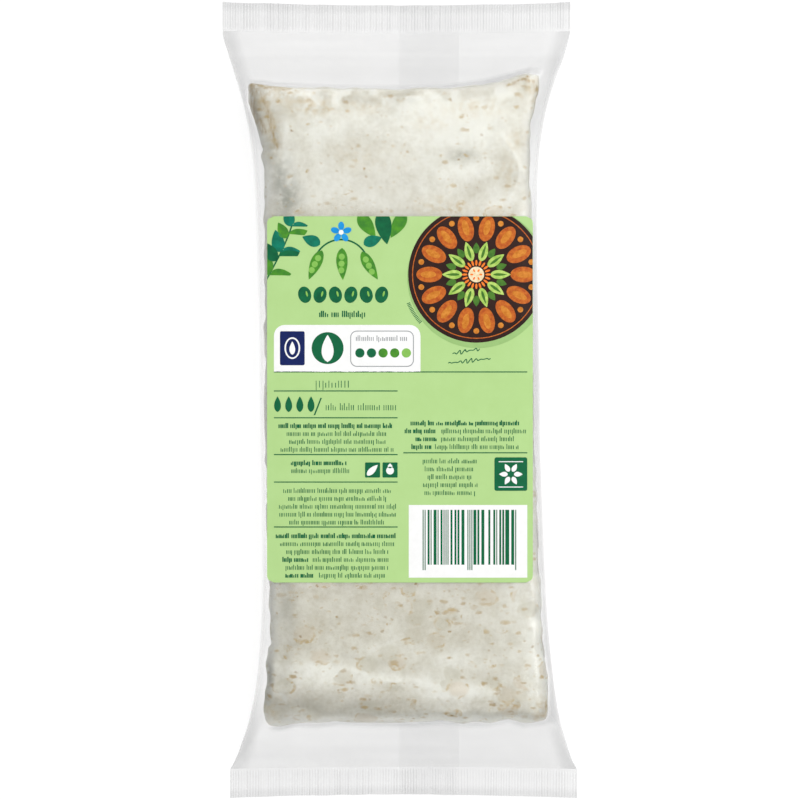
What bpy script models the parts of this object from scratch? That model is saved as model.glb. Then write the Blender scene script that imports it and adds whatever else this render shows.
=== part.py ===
"""A tempeh cake sealed in a clear flow-wrap bag, lying on its back, with a paper label stuck on its face.

Frame: origin on the resting surface under the middle of the pack, +X to the pack's right as its label is
read, +Y towards the pack's top seal, +Z up, out of the label. Every length is in metres.
"""

import math

import bmesh
import bpy

MM = 0.001

# The bag, flat across its crimped end seals and drawn in where it is wrapped round the cake.
BAG_LENGTH = 265.6 * MM
PACK_THICKNESS = 22.0 * MM
SEAL_HEIGHT = 9.7 * MM
SEAL_THICKNESS = 0.6 * MM
SEAL_MIDDLE_Z = 9.0 * MM
SEAL_BOW = 1.1 * MM
WAIST_HALF_WIDTH = 46.3 * MM
SHOULDER_ROUNDING = 1.9
FLAT_SHARE = 0.2
LARGEST_RIDGE_SHARE = 0.985

# The side folds lean over from the middle of one end to the middle of the other.
LEAN = 1.2 * MM
LEAN_LENGTH = 55 * MM
LEAN_OFFSET = 0.3 * MM

# How each end opens out from the wrapped waist to its flat seal: {flare at the seal, how far it fades, power}.
TOP_END = {"flare": 11.75 * MM, "fade": 25.1 * MM, "power": 1.37}
BOTTOM_END = {"flare": 11.2 * MM, "fade": 21.5 * MM, "power": 1.10}

# The ridge over the cake's shoulder: half widths at its waist and at its two ends, and how fast each fades.
CAKE_HALF_WIDTH = 44.3 * MM
TOP_SHOULDER = {"flare": 13.0 * MM, "fade": 15.0 * MM, "power": 1.20}
BOTTOM_SHOULDER = {"flare": 12.8 * MM, "fade": 14.0 * MM, "power": 1.20}

# Distance from a seal to the cake's end edge, and how sharply the film turns over that edge.
FACE_RUN = 19.0 * MM
BACK_RUN = 17.0 * MM
EDGE_SHARPNESS = 6
BACK_OVERSHOOT = 0.5 * MM

# The label on the face.
LABEL_WIDTH = 88.2 * MM
LABEL_LENGTH = 121.4 * MM
LABEL_CENTRE_Y = 0.2 * MM
LABEL_CORNER = 2.2 * MM
LABEL_THICKNESS = 0.25 * MM
TOUCHING_GAP = 0.3 * MM

# Mesh density.
HALF_RING_STEPS = 36
PROFILE_SAMPLES = 400
BODY_STATION_STEP = 9 * MM
END_STATIONS = 9
LABEL_COLUMNS = 22
LABEL_ROWS = 8
CORNER_STEPS = 4
END_ZONE = 2.4 * FACE_RUN
END_CLOSENESS = 1.15
SHARP_ANGLE = math.radians(40)

SEAL_INNER_Y = BAG_LENGTH / 2 - SEAL_HEIGHT
SEAL_HALF_WIDTH = WAIST_HALF_WIDTH + TOP_END["flare"]


def clear_scene():
    for obj in list(bpy.data.objects):
        bpy.data.objects.remove(obj)


def material(name, colour, roughness):
    made = bpy.data.materials.new(name)
    made.use_nodes = True
    shader = made.node_tree.nodes["Principled BSDF"]
    shader.inputs["Base Color"].default_value = (*colour, 1.0)
    shader.inputs["Roughness"].default_value = roughness
    shader.inputs["Metallic"].default_value = 0.0
    return made


def fade(distance, end):
    """A flare that is full at a seal and fades with the distance from it."""
    return end["flare"] * math.exp(-((distance / end["fade"]) ** end["power"]))


def from_seals(y):
    """Distances inwards from the two seals' inner edges, never negative."""
    return max(SEAL_INNER_Y - y, 0.0), max(SEAL_INNER_Y + y, 0.0)


def lean(y):
    return LEAN_OFFSET - LEAN * math.tanh(y / LEAN_LENGTH)


def fold_half_width(y):
    """Half the width over the side folds, which stand clear of the cake."""
    top, bottom = from_seals(y)
    return WAIST_HALF_WIDTH + fade(top, TOP_END) + fade(bottom, BOTTOM_END)


def ridge_share(y):
    """Where the shoulder ridge runs, as a share of the half width."""
    top, bottom = from_seals(y)
    ridge = CAKE_HALF_WIDTH + fade(top, TOP_SHOULDER) + fade(bottom, BOTTOM_SHOULDER)
    return min(ridge / fold_half_width(y), LARGEST_RIDGE_SHARE)


def rise(y, run):
    """0 at a seal and 1 over the cake, straight between them, turning over the cake's end edge."""
    t = min(from_seals(y)) / run
    return t / (1 + t**EDGE_SHARPNESS) ** (1 / EDGE_SHARPNESS)


def face_height(y):
    """Height of the face above the seals' middle plane."""
    half_seal = SEAL_THICKNESS / 2
    return half_seal + (PACK_THICKNESS - SEAL_MIDDLE_Z - half_seal) * rise(y, FACE_RUN)


def back_depth(y):
    """Depth of the back below the seals' middle plane."""
    half_seal = SEAL_THICKNESS / 2
    return half_seal + (SEAL_MIDDLE_Z + BACK_OVERSHOOT - half_seal) * rise(y, BACK_RUN)


def bulge(share, y):
    """1 across the flat of the face and 0 at the side fold."""
    power = math.log(FLAT_SHARE) / math.log(ridge_share(y))
    return max(1 - abs(share) ** power, 0.0) ** (1 / SHOULDER_ROUNDING)


def face_z(share, y):
    return SEAL_MIDDLE_Z + face_height(y) * bulge(share, y)


def back_z(share, y):
    return max(SEAL_MIDDLE_Z - back_depth(y) * bulge(share, y), 0.0)


def evenly(points, steps):
    """The points of a polyline, respaced at equal lengths."""
    along = [0.0]
    for a, b in zip(points, points[1:]):
        along.append(along[-1] + math.dist(a, b))
    spaced = []
    i = 0
    for k in range(steps + 1):
        target = along[-1] * k / steps
        while i < len(along) - 2 and along[i + 1] < target:
            i += 1
        t = (target - along[i]) / max(along[i + 1] - along[i], 1e-12)
        spaced.append(tuple(p + (q - p) * t for p, q in zip(points[i], points[i + 1])))
    return spaced


def spread_shares():
    """Shares of the half width from fold to fold, evenly spaced round the face of the waist section."""
    samples = [-math.cos(math.pi * k / PROFILE_SAMPLES) for k in range(PROFILE_SAMPLES + 1)]
    half = fold_half_width(0)
    waist = evenly([(half * share, face_z(share, 0)) for share in samples], HALF_RING_STEPS)
    return [x / half for x, z in waist]


def bow(x, y):
    """The end seals curve in towards the cake at their middle."""
    across = x / SEAL_HALF_WIDTH
    reach = abs(y) / (BAG_LENGTH / 2)
    return -math.copysign(SEAL_BOW * (1 - across**2) * reach**4, y)


def section(y, shares):
    """One closed ring round the bag: its face from the left fold to the right one, then its back again."""
    half_seal = SEAL_THICKNESS / 2
    centre, half = lean(y), fold_half_width(y)
    face = [(centre + half * share, max(face_z(share, y), SEAL_MIDDLE_Z + half_seal)) for share in shares]
    back = [(centre + half * share, min(back_z(share, y), SEAL_MIDDLE_Z - half_seal)) for share in shares]
    return [(x, y + bow(x, y), z) for x, z in face + back[::-1]]


def stations():
    """Where the bag is cut into sections: at both edges of each seal, close together where its ends slope."""
    slope = [SEAL_INNER_Y - END_ZONE * (k / END_STATIONS) ** END_CLOSENESS for k in range(END_STATIONS + 1)]
    body_half = slope[-1]
    body_steps = math.ceil(2 * body_half / BODY_STATION_STEP)
    body = [body_half - 2 * body_half * k / body_steps for k in range(1, body_steps)]
    top = [BAG_LENGTH / 2, *slope]
    return top + body + [-y for y in reversed(top)]


def loft(rings):
    """A closed skin through rings of equal count, capped at both ends."""
    count = len(rings[0])
    points = [p for ring in rings for p in ring]
    faces = [list(range(count))]
    for r in range(len(rings) - 1):
        for k in range(count):
            a, b = r * count + k, r * count + (k + 1) % count
            faces.append([a, a + count, b + count, b])
    last = (len(rings) - 1) * count
    faces.append(list(range(last + count - 1, last - 1, -1)))
    return points, faces


def add_pack(finish, collection):
    """The whole bag with its cake, lofted from one end seal's edge to the other's."""
    shares = spread_shares()
    points, faces = loft([section(y, shares) for y in stations()])
    mesh = bpy.data.meshes.new("film_pack")
    mesh.from_pydata(points, [], faces)
    mesh.materials.append(finish)
    mesh.shade_smooth()
    mesh.set_sharp_from_angle(angle=SHARP_ANGLE)
    collection.objects.link(bpy.data.objects.new("film_pack", mesh))


def label_half_width(offset):
    """Half the label's width at this distance from its nearer end, inside its corner arcs."""
    if offset >= LABEL_CORNER:
        return LABEL_WIDTH / 2
    drop = LABEL_CORNER - offset
    return LABEL_WIDTH / 2 - LABEL_CORNER + math.sqrt(max(LABEL_CORNER**2 - drop**2, 0.0))


def label_offsets():
    """Distances of the label's rows from its end, close together down the corner arcs."""
    arc = [LABEL_CORNER * (1 - math.cos(math.pi / 2 * k / CORNER_STEPS)) for k in range(CORNER_STEPS + 1)]
    straight = LABEL_LENGTH - 2 * LABEL_CORNER
    middle = [LABEL_CORNER + straight * k / LABEL_ROWS for k in range(1, LABEL_ROWS)]
    return arc + middle + [LABEL_LENGTH - a for a in reversed(arc)]


def add_label(finish, collection):
    """A sheet that follows the face, rounded at its corners and thickened outwards."""
    offsets = label_offsets()
    bm = bmesh.new()
    bmesh.ops.create_grid(bm, x_segments=LABEL_COLUMNS, y_segments=len(offsets) - 1, size=1)
    for vert in bm.verts:
        column = round((vert.co.x + 1) / 2 * LABEL_COLUMNS)
        offset = offsets[round((1 - vert.co.y) / 2 * (len(offsets) - 1))]
        y = LABEL_CENTRE_Y + LABEL_LENGTH / 2 - offset
        # Columns close up towards the sides, where the sheet turns down over the cake's shoulders.
        x = -label_half_width(min(offset, LABEL_LENGTH - offset)) * math.cos(math.pi * column / LABEL_COLUMNS)
        vert.co = (x, y, face_z((x - lean(y)) / fold_half_width(y), y) + TOUCHING_GAP)
    mesh = bpy.data.meshes.new("label")
    bm.to_mesh(mesh)
    bm.free()
    mesh.materials.append(finish)
    obj = bpy.data.objects.new("label", mesh)
    collection.objects.link(obj)
    solidify = obj.modifiers.new("thickness", "SOLIDIFY")
    solidify.thickness = LABEL_THICKNESS
    solidify.offset = 1


def main():
    clear_scene()
    parts = bpy.data.collections.new("tempeh_pack")
    bpy.context.scene.collection.children.link(parts)
    film = material("clear_film_over_cream_cake", (0.80, 0.77, 0.66), 0.25)
    paper = material("light_green_label_paper", (0.45, 0.69, 0.27), 0.45)
    add_pack(film, parts)
    add_label(paper, parts)


main()
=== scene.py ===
"""The looks of a tempeh cake sealed in a clear flow-wrap bag with a printed label on its face.

Lengths are in metres. The pack lies on its back: +X is the label's right, +Y its top, +Z up out of its
face.
"""

import itertools
import math

import bpy
import numpy as np
from bpy.props import FloatProperty, FloatVectorProperty, IntProperty, PointerProperty
from bpy.types import Operator, Panel, PropertyGroup
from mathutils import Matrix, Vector
from mathutils.bvhtree import BVHTree


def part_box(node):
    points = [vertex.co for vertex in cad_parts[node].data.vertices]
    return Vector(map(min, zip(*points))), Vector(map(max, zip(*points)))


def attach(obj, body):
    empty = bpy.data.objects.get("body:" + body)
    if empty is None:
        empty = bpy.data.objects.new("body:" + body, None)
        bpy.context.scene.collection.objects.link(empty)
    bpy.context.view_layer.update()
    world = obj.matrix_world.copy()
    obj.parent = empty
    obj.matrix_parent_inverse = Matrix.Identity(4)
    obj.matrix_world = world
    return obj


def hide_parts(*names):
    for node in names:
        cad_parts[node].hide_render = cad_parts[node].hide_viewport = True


bl_info = {
    "name": "Tempeh cake in a clear pack",
    "version": (1, 0, 0),
    "blender": (4, 5, 0),
    "location": "View3D > Sidebar > Tempeh",
    "description": "Models a block of tempeh in a clear flow-wrap bag with a printed label",
    "category": "Add Mesh",
}

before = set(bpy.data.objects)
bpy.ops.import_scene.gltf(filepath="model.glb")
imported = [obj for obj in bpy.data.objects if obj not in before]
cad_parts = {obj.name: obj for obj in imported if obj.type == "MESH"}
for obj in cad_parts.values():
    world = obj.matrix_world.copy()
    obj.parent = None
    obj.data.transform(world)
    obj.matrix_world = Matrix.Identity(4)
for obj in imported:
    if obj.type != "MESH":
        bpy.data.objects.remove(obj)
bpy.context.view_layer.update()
PACK_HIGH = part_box("film_pack")[1]
LABEL_LOW, LABEL_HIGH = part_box("label")

MM = 0.001
BODY = "root"

# The bag, worked out from the pack's solid.
SEAL_EDGE_Y = PACK_HIGH.y
SEAL_HEIGHT = 9.6 * MM
SEAL_INNER_Y = SEAL_EDGE_Y - SEAL_HEIGHT
SEAL_Z = 9.0 * MM
SEAL_BOW = 1.1 * MM
FACE_Z = PACK_HIGH.z - 0.1 * MM
BACK_Z = 0.30 * MM
WAIST_HALF_WIDTH = 46.65 * MM
SEAL_HALF_WIDTH = 58.0 * MM
LEAN = 1.7 * MM
TOP_LEAN_LENGTH = 62 * MM
BOTTOM_LEAN_LENGTH = 50 * MM
LEAN_LEFT_AT_SEAL = 0.67
TOP_END = {"flare": 11.4 * MM, "fade": 24.8 * MM, "power": 1.47}
BOTTOM_END = {"flare": 11.2 * MM, "fade": 22.2 * MM, "power": 1.0}
TOP_SHOULDER = {"flare": 12.9 * MM, "fade": 15.0 * MM, "power": 1.20}
BOTTOM_SHOULDER = {"flare": 12.6 * MM, "fade": 14.0 * MM, "power": 1.20}
RIDGE_HALF_WIDTH = 44.4 * MM
LARGEST_RIDGE_SHARE = 0.985
RIDGE_FALL = 0.2
FACE_TURN = 9
BACK_TURN = 6
BACK_RUN = 17 * MM
STRAIGHT_FROM_Y = 90 * MM
END_RUN = (4 * MM, 26 * MM)
ROUNDING = 1.9
ROUNDING_LOST_AT_SEAL = 0.5
FACE_OVER_TOP_EDGE = 0.6 * MM
FACE_OVER_BOTTOM_EDGE = 3 * MM
BACK_BELOW_FLOOR = 0.4 * MM

# The crimped seals and the back seam.
SEAL_OVERLAP = 0.1 * MM
SEAL_FILM = 0.08 * MM
SEAL_SAG = 0.25 * MM
SEAL_CUT_WAVE = 0.12 * MM
SEAM_FOLD_X = -0.3 * MM
SEAM_FILM = 0.05 * MM
SEAM_DEPTH = 0.16 * MM

# The cake's block before it is bent to its outline.
CAKE_HALF_WIDTH = 45 * MM
CAKE_HALF_LENGTH = 107 * MM
CAKE_TOP_Z = FACE_Z - 0.35 * MM
CAKE_BOTTOM_Z = 0.45 * MM
CAKE_HEIGHT = CAKE_TOP_Z - CAKE_BOTTOM_Z
CORNER_POWER = 6
CORNER_PULL_REACH = 5 * MM
LEFT_RIM_FALL = 0.5 * MM
LEFT_RIM_FALL_MORE_AT_TOP = 0.7 * MM
RIGHT_RIM_FALL = 0.3 * MM

# The relief of its skin.
RIDGE_WIDTH = 1.5 * MM
RIDGE_HEIGHT = 0.36 * MM
LOW_RIDGE_SHARE = 0.45
RIDGE_WANDER = 1.2 * MM
RIM_LUMP_HEIGHT = 0.60 * MM
COARSE_GRAIN = 0.10 * MM
FINE_GRAIN = 0.04 * MM
BEAN_HALF_LENGTHS = (3.2 * MM, 4.6 * MM)
BEAN_HALF_WIDTH_SHARES = (0.62, 0.82)

# The cake's outline seen from above, in millimetres: its sides as (y, x) and its ends as (x, y).
CAKE_LEFT_MM = (
    (-109, -43.6), (-106, -45.0), (-101.5, -45.6), (-94, -44.3), (-87, -44.5), (-82.6, -44.0),
    (-81, -42.5), (-78, -43.1), (-60, -43.3), (-40, -44.2), (0, -45.0), (60, -45.0), (77, -44.8),
    (81, -46.0), (83.3, -44.9), (85, -45.7), (91, -47.4), (98.7, -50.1), (105.5, -50.4), (109, -50.0),
)
CAKE_RIGHT_MM = (
    (-109, 49.0), (-104, 49.4), (-98, 49.3), (-93, 48.9), (-87, 48.2), (-80, 47.3), (-60, 46.5), (-30, 45.2),
    (0, 44.2), (40, 43.6), (80, 43.0), (87, 43.0), (91.7, 43.4), (96.7, 44.4), (101.7, 46.0), (107, 47.3),
    (110, 47.4),
)
CAKE_TOP_MM = (
    (-52, 105.4), (-46, 105.2), (-40, 104.4), (-20, 103.5), (0, 103.3), (16, 103.6), (28, 104.9), (37, 107.3),
    (43, 109.2), (50, 109.2),
)
CAKE_BOTTOM_MM = (
    (-48, -108.5), (-40, -108.8), (-34, -107.5), (-28, -107.9), (-20, -107.0), (-10, -107.5), (4, -107.6),
    (14, -106.7), (22, -107.6), (30, -107.3), (36, -106.0), (41, -107.5), (46, -107.0), (52, -106.6),
)

# Low ridges of thicker mould on the face, as (x, y) in millimetres. The mould is painted whiter along them,
# partly as painted highlight where the film over them would catch the light.
RIDGES_MM = (
    ((33.5, 87.5), (37, 82.5), (39.2, 77.5), (39.3, 72), (36, 66), (30, 62)),
    ((-38, 92), (-39.5, 80), (-37.5, 68)),
    ((-37, -88), (-20, -90.5), (0, -93), (16, -95.5), (28, -96.5)),
    ((-24, -79), (-8, -82), (6, -84)),
    ((22, -72), (31, -76), (38, -84)),
)

# Broad patches of the face's mould, in millimetres: x, y, half width, half height, and how much thinner. Some
# are thin and thick mould, and others are painted light: painted shade in a band above the label's top edge
# and along the upper left rim, and painted highlight along the fold by the bottom end, by the bottom edge and
# down the lower sides.
MOULD_AND_PAINTED_LIGHT_PATCHES_MM = (
    (-2, 101, 26, 3.2, 0.28),
    (-29.5, 98, 9, 3, 0.30),
    (24, 101, 18, 3.5, 0.15),
    (20, 95, 20, 6, -0.45),
    (41.5, 84, 3, 20, 0.40),
    (-26, 90, 9, 6, -0.30),
    (-27, 80, 5, 8, -0.25),
    (-12, 84, 14, 3, 0.20),
    (20, 87.5, 17, 4.5, -0.28),
    (20.8, 81, 4.5, 2.2, 0.45),
    (20, 76, 9, 3, -0.30),
    (-37.5, 90, 4, 6, 0.30),
    (-25, 84, 11, 9, 0.15),
    (24, 70, 5, 3.5, 0.40),
    (35.5, 76, 3.5, 9, 0.35),
    (2, 74, 8, 5, 0.20),
    (-18, 62, 26, 2.2, 0.40),
    (-29, -90.5, 16, 4.5, -0.40),
    (-38, -97.5, 5, 3.5, -0.50),
    (-2, -92.5, 14, 3.5, -0.38),
    (19, -96.5, 14, 3.2, -0.60),
    (20, -87, 11, 5, -0.50),
    (-22, -93, 5, 4, -0.35),
    (2, -84, 30, 5, -0.10),
    (40.5, -68, 5.5, 12, -0.50),
    (46.5, -84, 3, 20, -0.30),
    (44, -90, 4.5, 14, -0.35),
    (-44, -70, 2.5, 20, -0.30),
    (26, -106.5, 26, 3, -0.35),
    (-20, -107, 30, 2, -0.20),
)

# Grey patches of painted shade, in the same form: mostly along the cake's shaded left rim, and a few by its
# bottom edge, on its right side and in a hollow of its face.
PAINTED_SHADE_MM = (
    (-42.4, 84, 2.6, 9, 0.55),
    (-39.8, 73, 3.2, 8, 0.75),
    (-37.2, 67, 4.2, 7, 0.90),
    (-45.4, -98, 2.4, 8, 0.55),
    (-47.8, 95, 2.2, 7, 0.45),
    (-37.5, -66, 2.5, 12, 0.35),
    (-43.4, -92, 1.2, 5, 0.60),
    (40, 73, 3.0, 6, 0.20),
    (20.8, 81, 4.5, 2.2, 0.50),
    (-20, -107.5, 10, 1.2, 0.25),
)

# Creases of the film over the face, as (x, y) in millimetres.
CREASES_MM = (
    ((32.5, 88), (36.6, 83.4), (39.6, 78), (39.9, 72), (36.6, 65.6)),
    ((-52, 117), (-30, 118.6), (0, 118.2), (26, 118.8)),
    ((-50, 112), (-38, 113.5), (-26, 112.8)),
    ((48, 117), (40, 113), (36, 108)),
    ((-36, -81), (-12, -86), (10, -88.5), (30, -92)),
    ((-38, -112), (-46, -117)),
    ((6, -114.5), (30, -113.2), (44, -114.8)),
)

# Tan and brown stains, in millimetres: x, y, half width, half height, and how strong.
STAINS_MM = (
    (-49.6, 104.6, 5.0, 4.4, 1.0),
    (-46.5, 99, 4.5, 6, 0.70),
    (-42.0, 88, 2.2, 8, 0.80),
    (-39, 101, 9, 3.5, 0.75),
    (-29.5, 97.5, 9, 3, 0.80),
    (-12, 98, 7, 3, 0.50),
    (-14, 81, 8, 4, 0.30),
    (10, 92, 7, 3, 0.35),
    (24, 97, 12, 3, 0.45),
    (44, 105, 5, 4, 0.85),
    (45.5, 98, 2.2, 7, 0.80),
    (38, 86, 3, 3, 0.60),
    (36, 75, 3, 5, 0.50),
    (12, 64, 6, 3, 0.60),
    (30, 62, 10, 3, 0.40),
    (48, -104, 3.5, 5, 0.85),
    (42, -97, 5, 3, 0.20),
    (-43.5, -103, 2.5, 5, 0.55),
    (-38, -98, 4, 3, 0.30),
)

# Thin brown streaks where the mould dried in the film's wrinkles, as (x, y) in millimetres.
STREAKS_MM = (
    ((-50.2, 105), (-48.9, 101), (-48.9, 96), (-47.8, 92)),
    ((-49.4, 104.8), (-46, 101.5), (-44.2, 98), (-43.6, 94.5)),
    ((-49, 105.2), (-42, 104.2), (-36, 104)),
    ((-43.6, 94), (-42.6, 89), (-41.6, 85.5), (-40.6, 83.5)),
    ((-46.6, 93), (-45.2, 89)),
    ((36, 104.5), (41, 106.6), (45.6, 106), (46.4, 102), (45.6, 97)),
)

# How far each corner is drawn out of its rounding: (x, y) of the corner, then the pull along x and y.
CAKE_CORNER_PULLS_MM = ((-50, 105, -0.3, 0.3), (46.5, 107.5, -0.9, -0.7), (48.5, -106.5, -0.6, 0.4))

# Where the face starts to fall away to the bottom end: its y at the middle and its slope along x, then how
# far it falls in what length.
CREST_Y = -94.7 * MM
CREST_TILT = -0.09
CREST_FALL = 5.9 * MM
CREST_RUN = 14.3 * MM

# The print: its greeked lines in millimetres, then the ink's layers in metres.
LINE_PITCH = 2.62
X_HEIGHT = 1.2
BOLD_STROKE = 0.40
THIN_STROKE = 0.25
INK_MARGIN = 0.05 * MM
INK_CELL = 1.5 * MM
INK_GAP = 0.030 * MM
INK_STEP = 0.016 * MM
LABEL_LIFT = 0.03 * MM
# The dark disc's middle, x and y, and its radius, in millimetres.
DISC_MM = (25.3, 41.6, 22.6)

# The label's inks: two tones that drift into each other, their patch size in millimetres, and a roughness.
INKS = {
    "text_green_ink": ("#055C38", "#07633D", 2.5, 0.42),
    "teal_ink": ("#067B62", "#04634B", 2.5, 0.42),
    "dark_green_ink": ("#035434", "#06663D", 2.5, 0.42),
    "leaf_green_ink": ("#4F9426", "#397A2A", 2.5, 0.42),
    "pale_green_ink": ("#86BC58", "#79B24C", 2.5, 0.42),
    "petal_blue_ink": ("#1F96DA", "#0F88D0", 2.5, 0.42),
    "white_ink": ("#F0F0EF", "#ECECEB", 2.5, 0.42),
    "shade_ink": ("#93B872", "#98BD77", 2.5, 0.42),
    "navy_ink": ("#0A1A50", "#0E205C", 2.5, 0.42),
    "grey_ink": ("#8C8F92", "#96999B", 2.5, 0.42),
    "rust_ink": ("#A84A1A", "#C96F26", 1.3, 0.42),
    "amber_ink": ("#D48934", "#BB6C1C", 1.2, 0.42),
    "lime_ink": ("#BCD672", "#8DB84A", 1.5, 0.42),
    "moss_ink": ("#4E7E2B", "#3B6A26", 1.5, 0.42),
    "carrot_ink": ("#EA6A1C", "#F08A34", 1.0, 0.42),
    "cream_ink": ("#F1E3C4", "#E2C99A", 1.0, 0.42),
    "dark_brown_ink": ("#27130F", "#301A15", 4.0, 0.36),
}

# Cells that hold one bean each: their sizes along and across, their turn, and the bean's reach in its cell.
BEANS = (((11 * MM, 8 * MM), 0.35, 0.42), ((9.5 * MM, 7.5 * MM), -0.6, 0.42))

# Cells that hold one fleck of skin each: sizes, turn and reach as above, then the share of cells with one
# where speckle is 1, less or more everywhere, how strong a fleck is, and how brown the darkest one is.
FLECKS = (
    ((6.4 * MM, 2.7 * MM), 0.15, 0.36, 0.36, -0.03, 0.75, 0.30),
    ((4.6 * MM, 2.3 * MM), -0.55, 0.36, 0.36, -0.02, 0.75, 0.45),
    ((4.2 * MM, 2.6 * MM), 1.20, 0.34, 0.30, -0.02, 0.70, 0.40),
    ((3.4 * MM, 1.6 * MM), 0.25, 0.36, 0.22, 0.04, 0.60, 0.30),
    ((2.4 * MM, 2.0 * MM), 0.70, 0.30, 0.09, 0.007, 0.90, 0.90),
    ((1.6 * MM, 1.1 * MM), 0.30, 0.38, 0.24, 0.08, 0.42, 0.35),
)

# How far crumpling pushes the outlines of these cells aside.
CRUMPLE_PUSH = 2.04 * MM

# How much stronger the film's gloss is than its Fresnel reflection alone.
GLOSS_GAIN = 3.0
NOISE_CELLS = 32


def srgb(code):
    """A hex colour as linear red, green, blue and alpha."""
    channels = [int(code[i : i + 2], 16) / 255 for i in (1, 3, 5)]
    linear = [c / 12.92 if c <= 0.04045 else ((c + 0.055) / 1.055) ** 2.4 for c in channels]
    return (*linear, 1.0)


def number(name, description, default, unit="NONE"):
    return FloatProperty(name=name, description=description, default=default, unit=unit, precision=5)


def length(name, description, default):
    return number(name, description, default, "LENGTH")


def count(name, description, default):
    return IntProperty(name=name, description=description, default=default, min=0)


def colour(name, description, code):
    return FloatVectorProperty(
        name=name, description=description, default=srgb(code), size=4, min=0, max=1, subtype="COLOR"
    )


class TempehCakeSettings(PropertyGroup):
    cell: length("Mesh cell", "Size of the cake's mesh cells", 0.95 * MM)
    edge_radius: length("Edge radius", "Rounding of the block's edges", 3.2 * MM)
    swell: length("Swell", "Height of the broad swells of the surface", 0.40 * MM)
    bean_height: length("Bean height", "How far a covered bean stands up", 0.22 * MM)
    bean_count: count("Beans", "Beans that stand up under the mould", 230)
    white: colour("White mould", "Thick white mould", "#F1F1EA")
    grey: colour("Thin mould", "Thin grey-cream mould", "#CFCBBB")
    bean: colour("Bean", "A bean seen through thin mould", "#C8C4B0")
    hull: colour("Bean hull", "A bean in its hull, seen through thin mould", "#DDCBB2")
    # Painted shade: the grey laid over the mould where its rims and a hollow lie in shade.
    damp: colour("Painted shade on mould", "Grey mould pressed against the film", "#A3A498")
    tan: colour("Bean skin", "Bean skin and hulls under thin mould", "#C6AB6A")
    brown: colour("Dry edge", "Dried, darker edges and specks", "#96763E")


class FilmSettings(PropertyGroup):
    columns: count("Columns", "Mesh columns across each half of the bag", 120)
    rows: count("Rows", "Mesh rows along each half of the bag", 330)
    gap: length("Gap", "Least distance from the cake to the film", 0.10 * MM)
    ripple: length("Ripple", "Height of the ripples where the film hangs free", 0.30 * MM)
    rib_pitch: length("Rib pitch", "Distance between the ribs of the end seals", 0.92 * MM)
    rib_height: length("Rib height", "Height of the ribs of the end seals", 0.11 * MM)
    seam_width: length("Seam width", "Width of the folded-over back seam", 20 * MM)
    veil: colour("Film veil", "What the film scatters back", "#A6A6A7")


class LabelSettings(PropertyGroup):
    thickness: length("Thickness", "Thickness of the label paper", 0.12 * MM)
    corner: length("Corner radius", "Rounding of the label's corners", 2.2 * MM)
    ink_thickness: length("Ink thickness", "Thickness of one layer of ink", 0.015 * MM)
    paper: colour("Paper", "Light green of the label", "#AFD18B")
    paper_shade: colour("Paper shade", "Uneven print of the light green", "#ACCE87")
    text: colour("Text ink", "Dark green of the rules and small strokes", INKS["text_green_ink"][0])
    white: colour("White ink", "White of the panels", INKS["white_ink"][0])
    disc: colour("Dark disc", "Dark brown disc behind the rosette", INKS["dark_brown_ink"][0])


class StageSettings(PropertyGroup):
    camera_distance: length("Camera distance", "Height of the camera over the pack", 2.0)
    view_width: length("View width", "Width of the view at the pack's mid height", 266.7 * MM)
    key_power: number("Key light", "Power of the key light", 11.5, "POWER")
    fill_power: number("Fill light", "Power of the fill light", 2.6, "POWER")
    sky: number("Ceiling", "Brightness of the white ceiling", 0.50)
    walls: number("Walls", "Brightness of the white walls", 1.0)
    floor_glow: number("Floor glow", "Light given off by the floor sheet", 0.84)


# Shared helpers


def pick(*pieces):
    """Leaves just these pieces selected, in object mode, with the last of them active."""
    if bpy.context.object and bpy.context.object.mode != "OBJECT":
        bpy.ops.object.mode_set(mode="OBJECT")
    bpy.ops.object.select_all(action="DESELECT")
    for piece in pieces:
        piece.select_set(True)
        bpy.context.view_layer.objects.active = piece


def added(name):
    """The object the last primitive operator added, renamed."""
    piece = bpy.context.object
    piece.name = name
    piece.data.name = name
    return piece


def add_grid(name, columns, rows):
    """A flat grid from -1 to 1 both ways, and its points."""
    pick()
    bpy.ops.mesh.primitive_grid_add(x_subdivisions=columns, y_subdivisions=rows, size=2)
    grid = added(name)
    return grid, get_points(grid)


def edit(piece):
    """Opens one piece in edit mode with everything in it selected."""
    pick(piece)
    bpy.ops.object.mode_set(mode="EDIT")
    bpy.ops.mesh.select_all(action="SELECT")


def close_edit():
    bpy.ops.object.mode_set(mode="OBJECT")


def turn_over(piece):
    """Makes a sheet's faces point the other way."""
    edit(piece)
    bpy.ops.mesh.flip_normals()
    close_edit()


def add_modifier(piece, name, kind, **settings):
    modifier = piece.modifiers.new(name, kind)
    for key, value in settings.items():
        setattr(modifier, key, value)


def apply_modifiers(piece):
    pick(piece)
    for modifier in list(piece.modifiers):
        bpy.ops.object.modifier_apply(modifier=modifier.name)


def thicken(piece, thickness, offset):
    """Gives a sheet its thickness: offset 1 adds it on top, and 0 half on each side."""
    add_modifier(piece, "thickness", "SOLIDIFY", thickness=thickness, offset=offset)
    apply_modifiers(piece)


def get_points(piece):
    flat = np.empty(len(piece.data.vertices) * 3)
    piece.data.vertices.foreach_get("co", flat)
    return flat.reshape(-1, 3)


def set_points(piece, points):
    piece.data.vertices.foreach_set("co", points.reshape(-1))
    piece.data.update()


def get_normals(piece):
    flat = np.empty(len(piece.data.vertices) * 3, dtype=np.float32)
    piece.data.vertex_normals.foreach_get("vector", flat)
    return flat.reshape(-1, 3).astype(float)


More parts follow.
